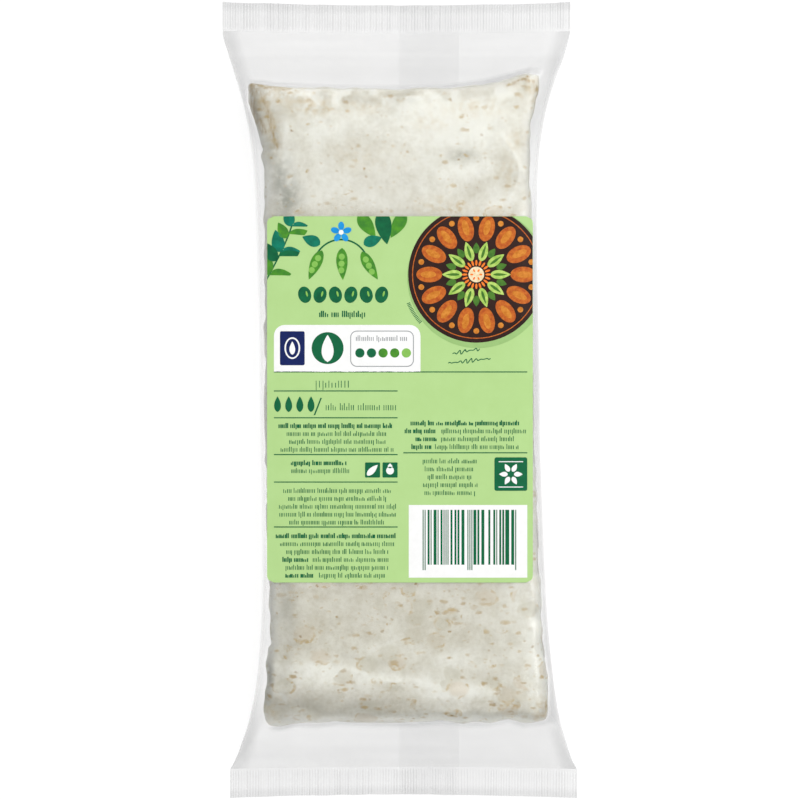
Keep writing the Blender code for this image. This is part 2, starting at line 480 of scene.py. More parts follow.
def paint(piece, **values):
    """Stores one number a point under each name, for the piece's material to read."""
    for name, numbers in values.items():
        attribute = piece.data.attributes.new(name, "FLOAT", "POINT")
        attribute.data.foreach_set("value", np.clip(numbers, 0, 1).astype(np.float32))


def finish_surface(piece, material, degrees=None):
    """Shades a piece smooth, but for edges sharper than this angle, and gives it its material."""
    pick(piece)
    if degrees is None:
        bpy.ops.object.shade_smooth()
    else:
        bpy.ops.object.shade_smooth_by_angle(angle=math.radians(degrees))
    piece.data.materials.append(material)


def tree_of(piece):
    """A search tree of a mesh piece, in its own coordinates."""
    mesh = piece.data
    return BVHTree.FromPolygons([v.co for v in mesh.vertices], [p.vertices for p in mesh.polygons])


def heights_over(piece, xs, ys):
    """Height of a piece's top side at each (x, y), or of its nearest point where it has none there."""
    tree = tree_of(piece)
    heights = []
    for x, y in zip(xs, ys):
        hit = tree.ray_cast(Vector((x, y, 1)), Vector((0, 0, -1)))[0]
        heights.append((hit or tree.find_nearest(Vector((x, y, PACK_HIGH.z)))[0]).z)
    return np.array(heights)


def ease(value, low, high):
    """0 below low, 1 above high, smooth between."""
    t = np.clip((value - low) / (high - low), 0, 1)
    return t * t * (3 - 2 * t)


def bell(value, centre, width):
    return np.exp(-(((value - centre) / width) ** 2))


def value_noise(points, cell, seed):
    """Smooth noise from -1 to 1 whose lumps are about one cell across."""
    table = np.random.default_rng(seed).uniform(-1, 1, (NOISE_CELLS,) * 3)
    scaled = points / np.asarray(cell)
    base = np.floor(scaled).astype(int)
    part = scaled - base
    eased = part * part * (3 - 2 * part)
    total = np.zeros(len(points))
    for corner in itertools.product((0, 1), repeat=3):
        weight = np.prod(np.where(corner, eased, 1 - eased), axis=1)
        i, j, k = ((base + corner) % NOISE_CELLS).T
        total += weight * table[i, j, k]
    return total


def rows_of(x, y, z):
    """Points, one row each, out of their x, y and z."""
    return np.stack(np.broadcast_arrays(x, y, z), axis=1)


def outline(pairs_mm, at):
    """Reads a given outline, in millimetres, at these metres."""
    places, values = np.array(pairs_mm).T * MM
    return np.interp(at, places, values)


def crest(x):
    return CREST_Y + CREST_TILT * x


# The bag's shape


def fade(distance, end):
    return end["flare"] * np.exp(-((distance / end["fade"]) ** end["power"]))


def from_seals(y):
    return np.maximum(SEAL_INNER_Y - y, 0), np.maximum(SEAL_INNER_Y + y, 0)


def lean(y):
    """How far the bag's middle line stands aside: left in the top half, and right in the bottom one."""
    reach = np.abs(y)
    aside = 1 - np.exp(-((reach / np.where(y > 0, TOP_LEAN_LENGTH, BOTTOM_LEAN_LENGTH)) ** 2))
    straighten = 1 - (1 - LEAN_LEFT_AT_SEAL) * ease(reach, STRAIGHT_FROM_Y, SEAL_EDGE_Y)
    return -np.sign(y) * LEAN * aside * straighten


def fold_half_width(y):
    top, bottom = from_seals(y)
    return WAIST_HALF_WIDTH + fade(top, TOP_END) + fade(bottom, BOTTOM_END)


def ridge_share(y):
    top, bottom = from_seals(y)
    ridge = RIDGE_HALF_WIDTH + fade(top, TOP_SHOULDER) + fade(bottom, BOTTOM_SHOULDER)
    return np.minimum(ridge / fold_half_width(y), LARGEST_RIDGE_SHARE)


def turn(run, sharpness):
    """A straight ramp that levels off at 1."""
    return run / (1 + run**sharpness) ** (1 / sharpness)


def end_closeness(y):
    """0 over the cake and 1 at a seal."""
    top, bottom = from_seals(y)
    return 1 - ease(np.minimum(top, bottom), *END_RUN)


def bulge(share, y):
    power = math.log(RIDGE_FALL) / np.log(ridge_share(y))
    rounding = ROUNDING - ROUNDING_LOST_AT_SEAL * end_closeness(y)
    return np.maximum(1 - np.abs(share) ** power, 0) ** (1 / rounding)


def face_z(share, y):
    """Height of the bag's face: ruled from each seal up to the cake's end edge, flat over the cake."""
    x = lean(y) + fold_half_width(y) * share
    top, bottom = from_seals(y)
    top_run = SEAL_INNER_Y - outline(CAKE_TOP_MM, x) + FACE_OVER_TOP_EDGE
    bottom_run = SEAL_INNER_Y + crest(x) - FACE_OVER_BOTTOM_EDGE
    rise = np.minimum(turn(top / top_run, FACE_TURN), turn(bottom / bottom_run, FACE_TURN))
    return SEAL_Z + (FACE_Z - SEAL_Z) * rise * bulge(share, y)


def back_z(share, y):
    top, bottom = from_seals(y)
    rise = turn(np.minimum(top, bottom) / BACK_RUN, BACK_TURN)
    return np.maximum(SEAL_Z - (SEAL_Z + BACK_BELOW_FLOOR) * rise * bulge(share, y), BACK_Z)


def bow(x, y):
    """The end seals curve in towards the cake at their middle."""
    across = x / SEAL_HALF_WIDTH
    reach = np.abs(y) / SEAL_EDGE_Y
    return -np.sign(y) * SEAL_BOW * (1 - across**2) * reach**4


# Materials


def add_node(tree, kind, inputs=None, **settings):
    """Adds a shader node with its settings. An input takes a value, or a node or socket to join to it."""
    node = tree.nodes.new("ShaderNode" + kind)
    for key, value in settings.items():
        setattr(node, key, value)
    for key, value in (inputs or {}).items():
        if isinstance(value, bpy.types.Node):
            value = value.outputs[0]
        if isinstance(value, bpy.types.NodeSocket):
            tree.links.new(value, node.inputs[key])
        else:
            node.inputs[key].default_value = value
    return node


def new_material(name):
    """A material with an empty node tree."""
    material = bpy.data.materials.new(name)
    material.use_nodes = True
    material.node_tree.nodes.clear()
    return material, material.node_tree


def per_metre(size):
    """A texture scale whose lumps are this size."""
    return 1 / size


def lumps(tree, place, size, levels=(0.35, 0.65), reach=(0.0, 1.0), detail=3.0):
    """Lumps of this size. They climb from one end of their reach to the other between two noise levels."""
    raw = add_node(
        tree, "TexNoise",
        {"Vector": place, "Scale": per_metre(size), "Detail": detail, "Roughness": 0.6},
    )
    low, high = levels
    least, most = reach
    return add_node(
        tree, "MapRange",
        {"Value": raw, "From Min": low, "From Max": high, "To Min": least, "To Max": most},
    )


def scattered_cells(tree, place, sizes, turn, crumple_size):
    """Stretched, crumpled Voronoi cells: the distance from a cell's middle, and three chances of its own."""
    along, across = sizes
    grid = add_node(
        tree, "Mapping",
        {
            "Vector": place,
            "Rotation": (turn * 0.4, turn * 0.3, turn),
            "Scale": (per_metre(along), per_metre(across), per_metre(across)),
            "Location": (turn * 7, turn * 5, turn * 3),
        },
    )
    crumple = add_node(
        tree, "TexNoise",
        {"Vector": place, "Scale": per_metre(crumple_size), "Detail": 2.0, "Roughness": 0.7},
    ).outputs["Color"]
    # The push sideways is the same for every cell size, and less across a cell than along it.
    push = tuple(CRUMPLE_PUSH / size for size in (along * 1.15, across * 1.9, across * 1.9))
    bent = add_node(tree, "VectorMath", {0: crumple, 1: push, 2: grid}, operation="MULTIPLY_ADD")
    cells = add_node(tree, "TexVoronoi", {"Vector": bent, "Scale": 1.0})
    chances = add_node(tree, "SeparateColor", {0: cells.outputs["Color"]})
    return cells.outputs["Distance"], chances.outputs


def flecks(tree, place, sizes, turn, reach, share):
    """Flecks with ragged rims: how strongly one covers a point, and its tone, both from 0 to 1."""
    distance, chances = scattered_cells(tree, place, sizes, turn, 0.9 * MM)
    chosen = add_node(tree, "Math", {0: chances[0], 1: share}, operation="LESS_THAN")
    strength = add_node(tree, "Math", {0: chances[2], 1: 0.7, 2: 0.3}, operation="MULTIPLY_ADD")
    shown = add_node(tree, "Math", {0: chosen, 1: strength}, operation="MULTIPLY")
    cover = add_node(
        tree, "MapRange",
        {"Value": distance, "From Min": reach, "From Max": reach * 0.45, "To Max": shown},
    )
    return cover, chances[1]


def beans(tree, place, sizes, turn, reach, share):
    """Beans seen through the mould: how much one tints a point, how much its frayed rim does, its tone."""
    distance, chances = scattered_cells(tree, place, sizes, turn, 2.6 * MM)
    chosen = add_node(tree, "Math", {0: chances[0], 1: share}, operation="LESS_THAN")
    inside = add_node(
        tree, "MapRange",
        {"Value": distance, "From Min": reach, "From Max": reach * 0.7, "To Max": 0.36},
    )
    inside = add_node(tree, "Math", {0: inside, 1: chosen}, operation="MULTIPLY")
    rim = add_node(tree, "Math", {0: distance, 1: reach * 0.90, 2: reach * 0.11}, operation="COMPARE")
    arc = lumps(tree, place, 5.5 * MM, (0.50, 0.60), (0.0, 0.62), 1.0)
    fray = lumps(tree, place, 1.1 * MM, (0.38, 0.60))
    for part in (arc, fray, chosen):
        rim = add_node(tree, "Math", {0: rim, 1: part}, operation="MULTIPLY")
    return inside, rim, chances[1]


def mould_material(settings):
    """White mould grown through soybeans: soft, matt and cream, with the beans' skins as tan slivers."""
    material, tree = new_material("white_mould_on_soybeans")
    place = add_node(tree, "TexCoord").outputs["Object"]
    speckle, thin, thick, damp, stain, streak = (
        add_node(tree, "Attribute", attribute_name=name).outputs["Fac"]
        for name in ("speckle", "thin", "thick", "damp", "stain", "streak")
    )

    # Thick mould is nearly white, and where it is thin the grey-cream beans under it show. The painted
    # thinness also carries painted shade, which greys the mould, and painted highlight, which whitens it.
    thinness = add_node(tree, "Math", {0: thin, 1: thick}, operation="SUBTRACT")
    for part in (
        lumps(tree, place, 15 * MM, reach=(0.02, 0.26)),
        lumps(tree, place, 4.6 * MM, (0.42, 0.68), (0.0, 0.27), 4.0),
        lumps(tree, place, 1.3 * MM, (0.4118, 0.70), (0.0, 0.28), 4.0),
    ):
        thinness = add_node(tree, "Math", {0: thinness, 1: part}, operation="ADD")
    layers = [(thinness, settings.grey)]

    # Whole beans show through, some still in their pinker hull, with frayed tan rims.
    share = add_node(tree, "Math", {0: speckle, 1: 0.85, 2: -0.36}, operation="MULTIPLY_ADD")
    for sizes, turn, reach in BEANS:
        inside, rim, tone = beans(tree, place, sizes, turn, reach, share)
        hulled = add_node(tree, "Math", {0: tone, 1: 1.8, 2: -0.8}, operation="MULTIPLY_ADD")
        flesh = add_node(tree, "Mix", {0: hulled, 6: settings.bean, 7: settings.hull}, data_type="RGBA")
        layers += [(inside, flesh.outputs[2]), (rim, settings.tan)]

    # Painted shade greys the mould along its shaded rims and in a hollow. Tan stains dry out along the top
    # edge and at the corners.
    for mottle, where, tint in (
        (lumps(tree, place, 3.0 * MM, (0.25, 0.55), detail=4.0), damp, settings.damp),
        (lumps(tree, place, 2.0 * MM, (0.40, 0.70), (0.0, 0.80), 6.0), stain, settings.tan),
    ):
        layers.append((add_node(tree, "Math", {0: mottle, 1: where}, operation="MULTIPLY"), tint))

    # The stains are darkest at their hearts and in the film's wrinkles, where they fray along the cake.
    drawn = add_node(tree, "VectorMath", {0: place, 1: (1.0, 0.28, 1.0)}, operation="MULTIPLY")
    frayed = lumps(tree, drawn, 0.9 * MM, (0.36, 0.60), detail=4.0)
    streaked = add_node(tree, "Math", {0: frayed, 1: streak}, operation="MULTIPLY")
    heart = add_node(tree, "Math", {0: stain, 1: 5.0, 2: -4.1}, operation="MULTIPLY_ADD")
    dried = add_node(tree, "Math", {0: streaked, 1: heart}, operation="MAXIMUM")
    browned = add_node(tree, "Math", {0: frayed, 1: 0.55}, operation="MULTIPLY")
    half_brown = add_node(tree, "Mix", {0: browned, 6: settings.tan, 7: settings.brown}, data_type="RGBA")
    layers.append((dried, half_brown.outputs[2]))

    # Slivers of skin lie mostly across the block, with dry specks between them, in loose clusters.
    cluster = lumps(tree, place, 9 * MM, (0.40, 0.62), (0.15, 1.0), 2.0)
    share = add_node(tree, "Math", {0: cluster, 1: speckle}, operation="MULTIPLY")
    relief = 0.0
    for sizes, turn, reach, density, least, strength, darkest in FLECKS:
        here = add_node(tree, "Math", {0: share, 1: density, 2: least}, operation="MULTIPLY_ADD")
        covered, tone = flecks(tree, place, sizes, turn, reach, here)
        darker = add_node(tree, "Math", {0: tone, 1: darkest}, operation="MULTIPLY")
        tint = add_node(tree, "Mix", {0: darker, 6: settings.tan, 7: settings.brown}, data_type="RGBA")
        cover = add_node(tree, "Math", {0: covered, 1: strength}, operation="MULTIPLY")
        layers.append((cover, tint.outputs[2]))
        relief = add_node(tree, "Math", {0: relief, 1: covered}, operation="MAXIMUM")

    base = settings.white
    for cover, tint in layers:
        base = add_node(tree, "Mix", {0: cover, 6: base, 7: tint}, data_type="RGBA").outputs[2]

    # The mould's threads are far finer than this fuzz, which is drawn at the size of their tufts to show.
    fuzz = add_node(tree, "TexNoise", {"Vector": place, "Scale": per_metre(1.1 * MM), "Detail": 5.0})
    height = add_node(tree, "Math", {0: relief, 1: -0.6, 2: fuzz}, operation="MULTIPLY_ADD")
    bump = add_node(tree, "Bump", {"Height": height, "Strength": 0.55, "Distance": 0.16 * MM})
    shader = add_node(
        tree, "BsdfPrincipled",
        {
            "Base Color": base,
            "Normal": bump,
            "Roughness": 0.62,
            "IOR": 1.42,
            "Subsurface Weight": 0.12,
            "Subsurface Scale": 1.2 * MM,
            "Subsurface Radius": (1.0, 0.9, 0.7),
        },
    )
    add_node(tree, "OutputMaterial", {0: shader})
    return material


def film_material(name, settings, thinnest, roughness):
    """Cast polypropylene film: clear and glossy, with a slight grey veil, thicker where it stands free."""
    material, tree = new_material(name)
    place = add_node(tree, "TexCoord").outputs["Object"]
    veil, gloss = (
        add_node(tree, "Attribute", attribute_name=read).outputs["Fac"] for read in ("veil", "gloss")
    )

    # The veil is cloudy, and thicker where the film is seen edge on.
    cloud = add_node(tree, "TexNoise", {"Vector": place, "Scale": per_metre(14 * MM), "Detail": 2.0})
    uneven = add_node(tree, "Math", {0: cloud, 1: 0.5, 2: 0.75}, operation="MULTIPLY_ADD")
    veiled = add_node(tree, "Math", {0: veil, 1: uneven}, operation="MULTIPLY")
    facing = add_node(tree, "LayerWeight", {"Blend": 0.35}).outputs["Facing"]
    steep = add_node(tree, "Math", {0: facing, 1: 2.5}, operation="POWER")
    slanted = add_node(tree, "Math", {0: steep, 1: 0.10, 2: veiled}, operation="MULTIPLY_ADD")
    haze = add_node(tree, "Math", {0: slanted, 1: thinnest}, operation="ADD", use_clamp=True)
    clear = add_node(tree, "BsdfTransparent", {"Color": srgb("#FEFEFE")})
    scattered = add_node(tree, "BsdfDiffuse", {"Color": settings.veil, "Roughness": 0.5})
    body = add_node(tree, "MixShader", {0: haze, 1: clear, 2: scattered})

    # Gloss follows the film's own Fresnel curve, and is stronger where the film is drawn tight.
    sheen = add_node(tree, "Fresnel", {"IOR": 1.49})
    for part in (gloss, GLOSS_GAIN):
        sheen = add_node(tree, "Math", {0: sheen, 1: part}, operation="MULTIPLY", use_clamp=True)
    mirror = add_node(tree, "BsdfGlossy", {"Color": srgb("#FFFFFF"), "Roughness": roughness})
    surface = add_node(tree, "MixShader", {0: sheen, 1: body, 2: mirror})
    add_node(tree, "OutputMaterial", {0: surface})
    return material


def paper_material(name, first, second, patch, roughness):
    """Coated label paper under water-based ink: satin, its tone drifting like a brushed wash."""
    material, tree = new_material(name)
    place = add_node(tree, "TexCoord").outputs["Object"]
    mottle = lumps(tree, place, patch, detail=4.0)
    base = add_node(tree, "Mix", {0: mottle, 6: first, 7: second}, data_type="RGBA")
    # Paper fibres are finer than this. They are drawn half a millimetre wide to show.
    fibre = add_node(tree, "TexNoise", {"Vector": place, "Scale": per_metre(0.5 * MM), "Detail": 2.0})
    bump = add_node(tree, "Bump", {"Height": fibre, "Strength": 0.12, "Distance": 0.02 * MM})
    shader = add_node(
        tree, "BsdfPrincipled",
        {
            "Base Color": base.outputs[2],
            "Normal": bump,
            "Roughness": roughness,
            "IOR": 1.45,
            "Specular IOR Level": 0.15,
        },
    )
    add_node(tree, "OutputMaterial", {0: shader})
    return material


# The cake


def cake_edges(y):
    return outline(CAKE_LEFT_MM, y), outline(CAKE_RIGHT_MM, y)


def cake_gaps(x, y):
    """How far a point is past the cake's top end, bottom end and nearer side. Less than 0 is inside."""
    left, right = cake_edges(y)
    return y - outline(CAKE_TOP_MM, x), outline(CAKE_BOTTOM_MM, x) - y, np.maximum(left - x, x - right)


def rough_block(settings):
    """A rounded block at the cake's size, in even mesh cells."""
    pick()
    bpy.ops.mesh.primitive_cube_add(size=1, location=(0, 0, 0))
    cake = added("tempeh_cake")
    edit(cake)
    bpy.ops.transform.resize(value=(CAKE_HALF_WIDTH * 2, CAKE_HALF_LENGTH * 2, CAKE_HEIGHT))
    close_edit()
    add_modifier(cake, "edges", "BEVEL", width=settings.edge_radius, segments=5, limit_method="NONE")
    add_modifier(cake, "cells", "REMESH", mode="VOXEL", voxel_size=settings.cell)
    add_modifier(cake, "even", "SMOOTH", factor=0.5, iterations=6)
    apply_modifiers(cake)
    return cake


def square_corners(points, radius):
    """Makes the block's four upright corners tighter than its other edges."""
    sides = np.abs(points[:, :2])
    inner = np.array((CAKE_HALF_WIDTH, CAKE_HALF_LENGTH)) - radius
    over = np.maximum(sides - inner, 0) / radius
    round_norm = np.hypot(over[:, 0], over[:, 1])
    square_norm = np.maximum((over**CORNER_POWER).sum(1), 1e-12) ** (1 / CORNER_POWER)
    gain = np.where(over.min(1) > 0, round_norm / square_norm, 1)
    moved = np.where(over > 0, inner + over * gain[:, None] * radius, sides)
    return np.concatenate([np.sign(points[:, :2]) * moved, points[:, 2:]], axis=1)


def strew_beans(settings, points, normals):
    """Height of the beans that stand up under the mould."""
    rng = np.random.default_rng(41)
    height = np.zeros(len(points))
    for _ in range(settings.bean_count):
        home = rng.integers(len(points))
        out = normals[home]
        long_half = rng.uniform(*BEAN_HALF_LENGTHS)
        short_half = long_half * rng.uniform(*BEAN_HALF_WIDTH_SHARES)
        side = np.cross(out, (0.3, 0.9, 0.2))
        side /= np.linalg.norm(side)
        angle = rng.uniform(0, math.pi)
        along = side * math.cos(angle) + np.cross(out, side) * math.sin(angle)
        across = np.cross(out, along)
        gap = points - points[home]
        far = np.hypot(gap @ along / long_half, gap @ across / short_half)
        near = (np.abs(gap @ out) < 2.5 * MM) & (far < 1.3)
        height[near] += rng.uniform(0.15, 1.0) * (1 - ease(far[near], 0.35, 1.15))
    return height


def spots(x, y, spots_mm):
    """Soft round spots, one row each: their strength at every (x, y)."""
    rows = []
    for spot_x, spot_y, half_x, half_y, amount in spots_mm:
        rows.append(amount * bell(np.hypot((x / MM - spot_x) / half_x, (y / MM - spot_y) / half_y), 0, 1))
    return np.array(rows)


def along_paths(x, y, paths_mm, width):
    """1 on the nearest of these paths, falling off sideways."""
    nearest = np.full(len(x), np.inf)
    for path in paths_mm:
        for (ax, ay), (bx, by) in zip(path, path[1:]):
            run = np.array((bx - ax, by - ay)) * MM
            gap = np.stack([x - ax * MM, y - ay * MM], axis=1)
            share = np.clip(gap @ run / (run @ run), 0, 1)
            nearest = np.minimum(nearest, np.linalg.norm(gap - share[:, None] * run, axis=1))
    return bell(nearest, 0, width)


def bend_to_outline(points):
    """Fits the block between the cake's outlines, and lets its face fall away at the rims."""
    across = points[:, 0] / CAKE_HALF_WIDTH
    y = points[:, 1].copy()
    for _ in range(2):
        left, right = cake_edges(y)
        x = (left + right) / 2 + (right - left) / 2 * across
        ends = np.where(points[:, 1] > 0, outline(CAKE_TOP_MM, x), -outline(CAKE_BOTTOM_MM, x))
        y = points[:, 1] * (ends / CAKE_HALF_LENGTH)
    # The face falls away towards the bottom end and, much less, along the sides.
    bottom_fall = np.clip((crest(x) - y) / CREST_RUN, 0, 1) ** 2 * CREST_FALL
    left_fall = LEFT_RIM_FALL + LEFT_RIM_FALL_MORE_AT_TOP * ease(y, 40 * MM, 80 * MM)
    left_fall *= 1 - ease(across, -1, -0.72)
    right_fall = RIGHT_RIM_FALL * ease(across, 0.90, 1)
    upper = ease(points[:, 2], -CAKE_HEIGHT / 2, CAKE_HEIGHT / 2)
    z = points[:, 2] + CAKE_HEIGHT / 2 + CAKE_BOTTOM_Z
    return x, y, z - upper * np.maximum(bottom_fall, np.maximum(left_fall, right_fall))


def build_cake(settings):
    cake = rough_block(settings)
    x, y, z = bend_to_outline(square_corners(get_points(cake), settings.edge_radius))
    points = rows_of(x, y, z)
    for corner_x, corner_y, pull_x, pull_y in CAKE_CORNER_PULLS_MM:
        near = bell(np.hypot(x - corner_x * MM, y - corner_y * MM), 0, CORNER_PULL_REACH)[:, None]
        points[:, :2] += near * np.array((pull_x, pull_y)) * MM
    set_points(cake, points)

    # Its skin swells, and rises over lumps, beans and the ridges of thicker mould.
    top_gap, bottom_gap, side_gap = cake_gaps(x, y)
    inside = -np.maximum(side_gap, np.maximum(top_gap, bottom_gap))
    wander = value_noise(points, 7 * MM, 14) * RIDGE_WANDER
    # The ridges by the bottom end are lower than the ones by the top end.
    ridge_gain = np.where(y > 0, 1, LOW_RIDGE_SHARE)
    ridge = ridge_gain * along_paths(x + wander, y + wander, RIDGES_MM, RIDGE_WIDTH)
    normals = get_normals(cake)
    swell = value_noise(points, (16 * MM, 22 * MM, 12 * MM), 7) * 0.7 + value_noise(points, 8 * MM, 8) * 0.3
    grain = value_noise(points, 3.4 * MM, 9) * COARSE_GRAIN + value_noise(points, 1.9 * MM, 10) * FINE_GRAIN
    rim_lumps = value_noise(points, (5 * MM, 4 * MM, 6 * MM), 12) * RIM_LUMP_HEIGHT
    rim_lumps *= 1 - ease(inside, 1 * MM, 9 * MM)
    bean = strew_beans(settings, points, normals) * settings.bean_height
    push = swell * settings.swell * 0.5 - np.abs(grain) + bean + rim_lumps + ridge * RIDGE_HEIGHT
    # The underside is pressed flat by the pack's own weight.
    push *= ease(points[:, 2], CAKE_BOTTOM_Z + 0.4 * MM, CAKE_BOTTOM_Z + 5 * MM)
    points = points + normals * push[:, None]
    points[:, 2] = np.clip(points[:, 2], CAKE_BOTTOM_Z, FACE_Z + 0.1 * MM)
    set_points(cake, points)

    # The stains sit on the face and fade down the walls.
    on_face = ease(points[:, 2], 9 * MM, 19 * MM)
    stain = np.maximum(spots(x, y, STAINS_MM).max(0), 0.10 * (1 - ease(-top_gap, 1 * MM, 9 * MM)))
    stain *= 0.35 + 0.65 * on_face
    # Mould is thick in tufts along the top rim. Along the ridges the whiter mould is partly painted
    # highlight, and along the other three sides the whitening is painted light that lifts the shade of the
    # rounded walls.
    mould_and_painted_light = spots(x, y, MOULD_AND_PAINTED_LIGHT_PATCHES_MM).sum(0)
    ridge_mould_and_highlight = ridge_gain * along_paths(x + wander, y + wander, RIDGES_MM, 2.0 * MM)
    tufted = ease(value_noise(points, 3 * MM, 15), -0.05, 0.35) * bell(top_gap, -2.5 * MM, 4 * MM)
    side_painted_light = bell(np.maximum(side_gap, bottom_gap + 1 * MM), 0, 2.2 * MM)
    paint(
        cake,
        stain=stain,
        # painted shade: grey patches along the shaded rims and in a hollow
        damp=spots(x, y, PAINTED_SHADE_MM).max(0),
        streak=0.75 * on_face * along_paths(x + 0.4 * wander, y, STREAKS_MM, 0.8 * MM),
        thin=0.34 * ease(-y, -20 * MM, 95 * MM) + np.maximum(mould_and_painted_light, 0),
        thick=0.42 * ridge_mould_and_highlight + 0.7 * tufted + 0.45 * side_painted_light - np.minimum(mould_and_painted_light, 0),
        speckle=0.42 + 0.40 * ease(-y, -90 * MM, 70 * MM) + 0.25 * stain - 0.25 * np.maximum(-mould_and_painted_light, 0),
    )
    finish_surface(cake, mould_material(settings))
    return cake


# The bag


def film_half(name, settings, height_at):
    """One half of the bag: a grid laid from fold to fold and from seal to seal."""
    half, grid = add_grid(name, settings.columns, settings.rows)
    # Columns close up towards the side folds and rows towards the seals.
    share = 0.2 * grid[:, 0] + 0.8 * np.sin(grid[:, 0] * math.pi / 2)
    y = SEAL_INNER_Y * (0.55 * grid[:, 1] + 0.45 * np.sin(grid[:, 1] * math.pi / 2))
    x = lean(y) + fold_half_width(y) * share
    set_points(half, rows_of(x, y + bow(x, y), height_at(share, y)))
    return half


def ripple_film(film, settings):
    """Slack where the film hangs free: ripples along the ends and streaks along the sides."""
    points = get_points(film)
    x, y, z = points.T
    level = (x - lean(y)) / fold_half_width(y)
    side = ease(np.abs(level), 0.90, 0.99)
    pinned = ease(SEAL_INNER_Y - np.abs(y), 0, 3 * MM)
    lying = ease(z, BACK_Z + 0.02 * MM, BACK_Z + 2 * MM)
    bands = value_noise(points, (40 * MM, 6 * MM, 20 * MM), 21)
    bands += 0.4 * value_noise(points, (14 * MM, 3 * MM, 9 * MM), 22)
    streaks = value_noise(rows_of(level * WAIST_HALF_WIDTH, y, z), (3 * MM, 30 * MM, 3 * MM), 23)
    soft = value_noise(points, (9 * MM, 14 * MM, 9 * MM), 24)
    push = settings.ripple * (end_closeness(y) * bands + 0.5 * side * streaks) + 0.06 * MM * soft
    set_points(film, points + get_normals(film) * (push * pinned * lying)[:, None])


def wrap_outside(film, cake, gap):
    """Lifts film that dips into the cake back out of it."""
    contact = {"target": cake, "wrap_method": "NEAREST_SURFACEPOINT", "wrap_mode": "OUTSIDE", "offset": gap}
    add_modifier(film, "contact", "SHRINKWRAP", **contact)
    add_modifier(film, "settle", "SMOOTH", factor=0.4, iterations=2)
    add_modifier(film, "contact_again", "SHRINKWRAP", **contact)
    apply_modifiers(film)


def contact_with(piece, points):
    """1 where the film touches the piece, and 0 where it stands free."""
    tree = tree_of(piece)
    distances = np.array([tree.find_nearest(Vector(point))[3] for point in points])
    return 1 - ease(distances, 0.15 * MM, 1.6 * MM)


def along_cake(top_gap, bottom_gap):
    """1 between the cake's ends, and 0 past them."""
    return (1 - ease(top_gap, 0, 2 * MM)) * (1 - ease(bottom_gap, 0, 2 * MM))


def film_veil(points, touch):
    """What the film scatters back: most where it stands free, folds over or lifts off the cake's rims."""
    x, y, _ = points.T
    top_gap, bottom_gap, side_gap = cake_gaps(x, y)
    top, bottom = from_seals(y)
    ends = end_closeness(y)
    beside = along_cake(top_gap, bottom_gap)

    # Free film is greyer towards the seals, with a clearer strip by each.
    near_seal = 1 - ease(top, 7.5 * MM, 9.5 * MM)
    streak = value_noise(points, (30 * MM, 2.2 * MM, 30 * MM), 31) * ends
    free = 0.086 + 0.027 * ends - 0.030 * near_seal - 0.018 * bell(bottom, 13 * MM, 6 * MM) + 0.016 * streak
    # Just past each end of the cake the veil is thicker: painted shade where the cake's end wall shades the
    # film.
    free += 0.02 * bell(top_gap, 4 * MM, 5 * MM) + 0.01 * bell(bottom_gap, 3 * MM, 4 * MM)

    # The side folds are double film, and past the cake's corners it slopes steeply down to them.
    outward = np.abs(x - lean(y)) / fold_half_width(y)
    fold = ease(outward, 0.955 - 0.075 * ends, 0.995 - 0.025 * ends)
    free += fold * (0.06 + 0.06 * ends + 0.03 * (x > 0))
    steep = (0.20 - 0.09 * (x > 0)) * bell(y, 98 * MM, 11 * MM) + 0.04 * bell(y, -107 * MM, 8 * MM)
    free += ease(outward, 0.88, 0.94) * steep
    # Below the top end the right fold stands up off the cake and shows greyer.
    standing = (x > 0) * ease(-y, -75 * MM, -45 * MM) * beside
    upright = 0.13 * bell(side_gap, 0.8 * MM, 1.8 * MM) + 0.10 * ease(outward, 0.90, 0.97) * (1 - ends)
    free += standing * upright

    # The film lifts off along the cake's end edges, most at the top right.
    lens = (0.50 + 0.35 * bell(x, 30 * MM, 12 * MM)) * MM
    lift = np.maximum(1.6 * bell(top_gap, lens, lens), 1.2 * bell(bottom_gap, 0.6 * MM, 0.8 * MM))
    lift += 0.4 * bell(top_gap, -2.5 * MM, 2.2 * MM)
    lift *= 1 - ease(side_gap, -2 * MM, 0.5 * MM)
    # It is slack over the left side of the bottom half.
    left = outline(CAKE_LEFT_MM, y)
    slack = bell(x - left, 6.5 * MM, 3 * MM) * ease(-y, 45 * MM, 75 * MM) * beside
    return free * (1 - touch) + 0.16 * lift + 0.07 * slack


def film_gloss(points):
    """How strongly the film mirrors the lights: most on its creases and where it is drawn over an edge."""
    x, y, z = points.T
    top_gap, bottom_gap, _ = cake_gaps(x, y)
    left, right = cake_edges(y)
    # The underside's sides would mirror the cake. There the film is slack and dull.
    plain = 0.38 * ease(z, SEAL_Z - 1 * MM, SEAL_Z + 1 * MM) + 0.25 * (1 - ease(z, 0, 1 * MM))
    stretched = bell(right - x, 1.5 * MM, 2.5 * MM) * (1 - 0.6 * ease(y, 40 * MM, 70 * MM))
    stretched += 0.9 * bell(right - x, -0.2 * MM, 0.9 * MM)
    stretched += 0.8 * bell(x - left, 1 * MM, 1.6 * MM) + 0.5 * bell(x - left, 0.3 * MM, 1 * MM)
    stretched *= along_cake(top_gap, bottom_gap)
    broken = ease(value_noise(points, 6 * MM, 33), -0.25, 0.35)
    creased = along_paths(x, y, CREASES_MM, 1.2 * MM) * broken
    return plain + 0.28 * (creased + stretched) * ease(z, SEAL_Z, FACE_Z)


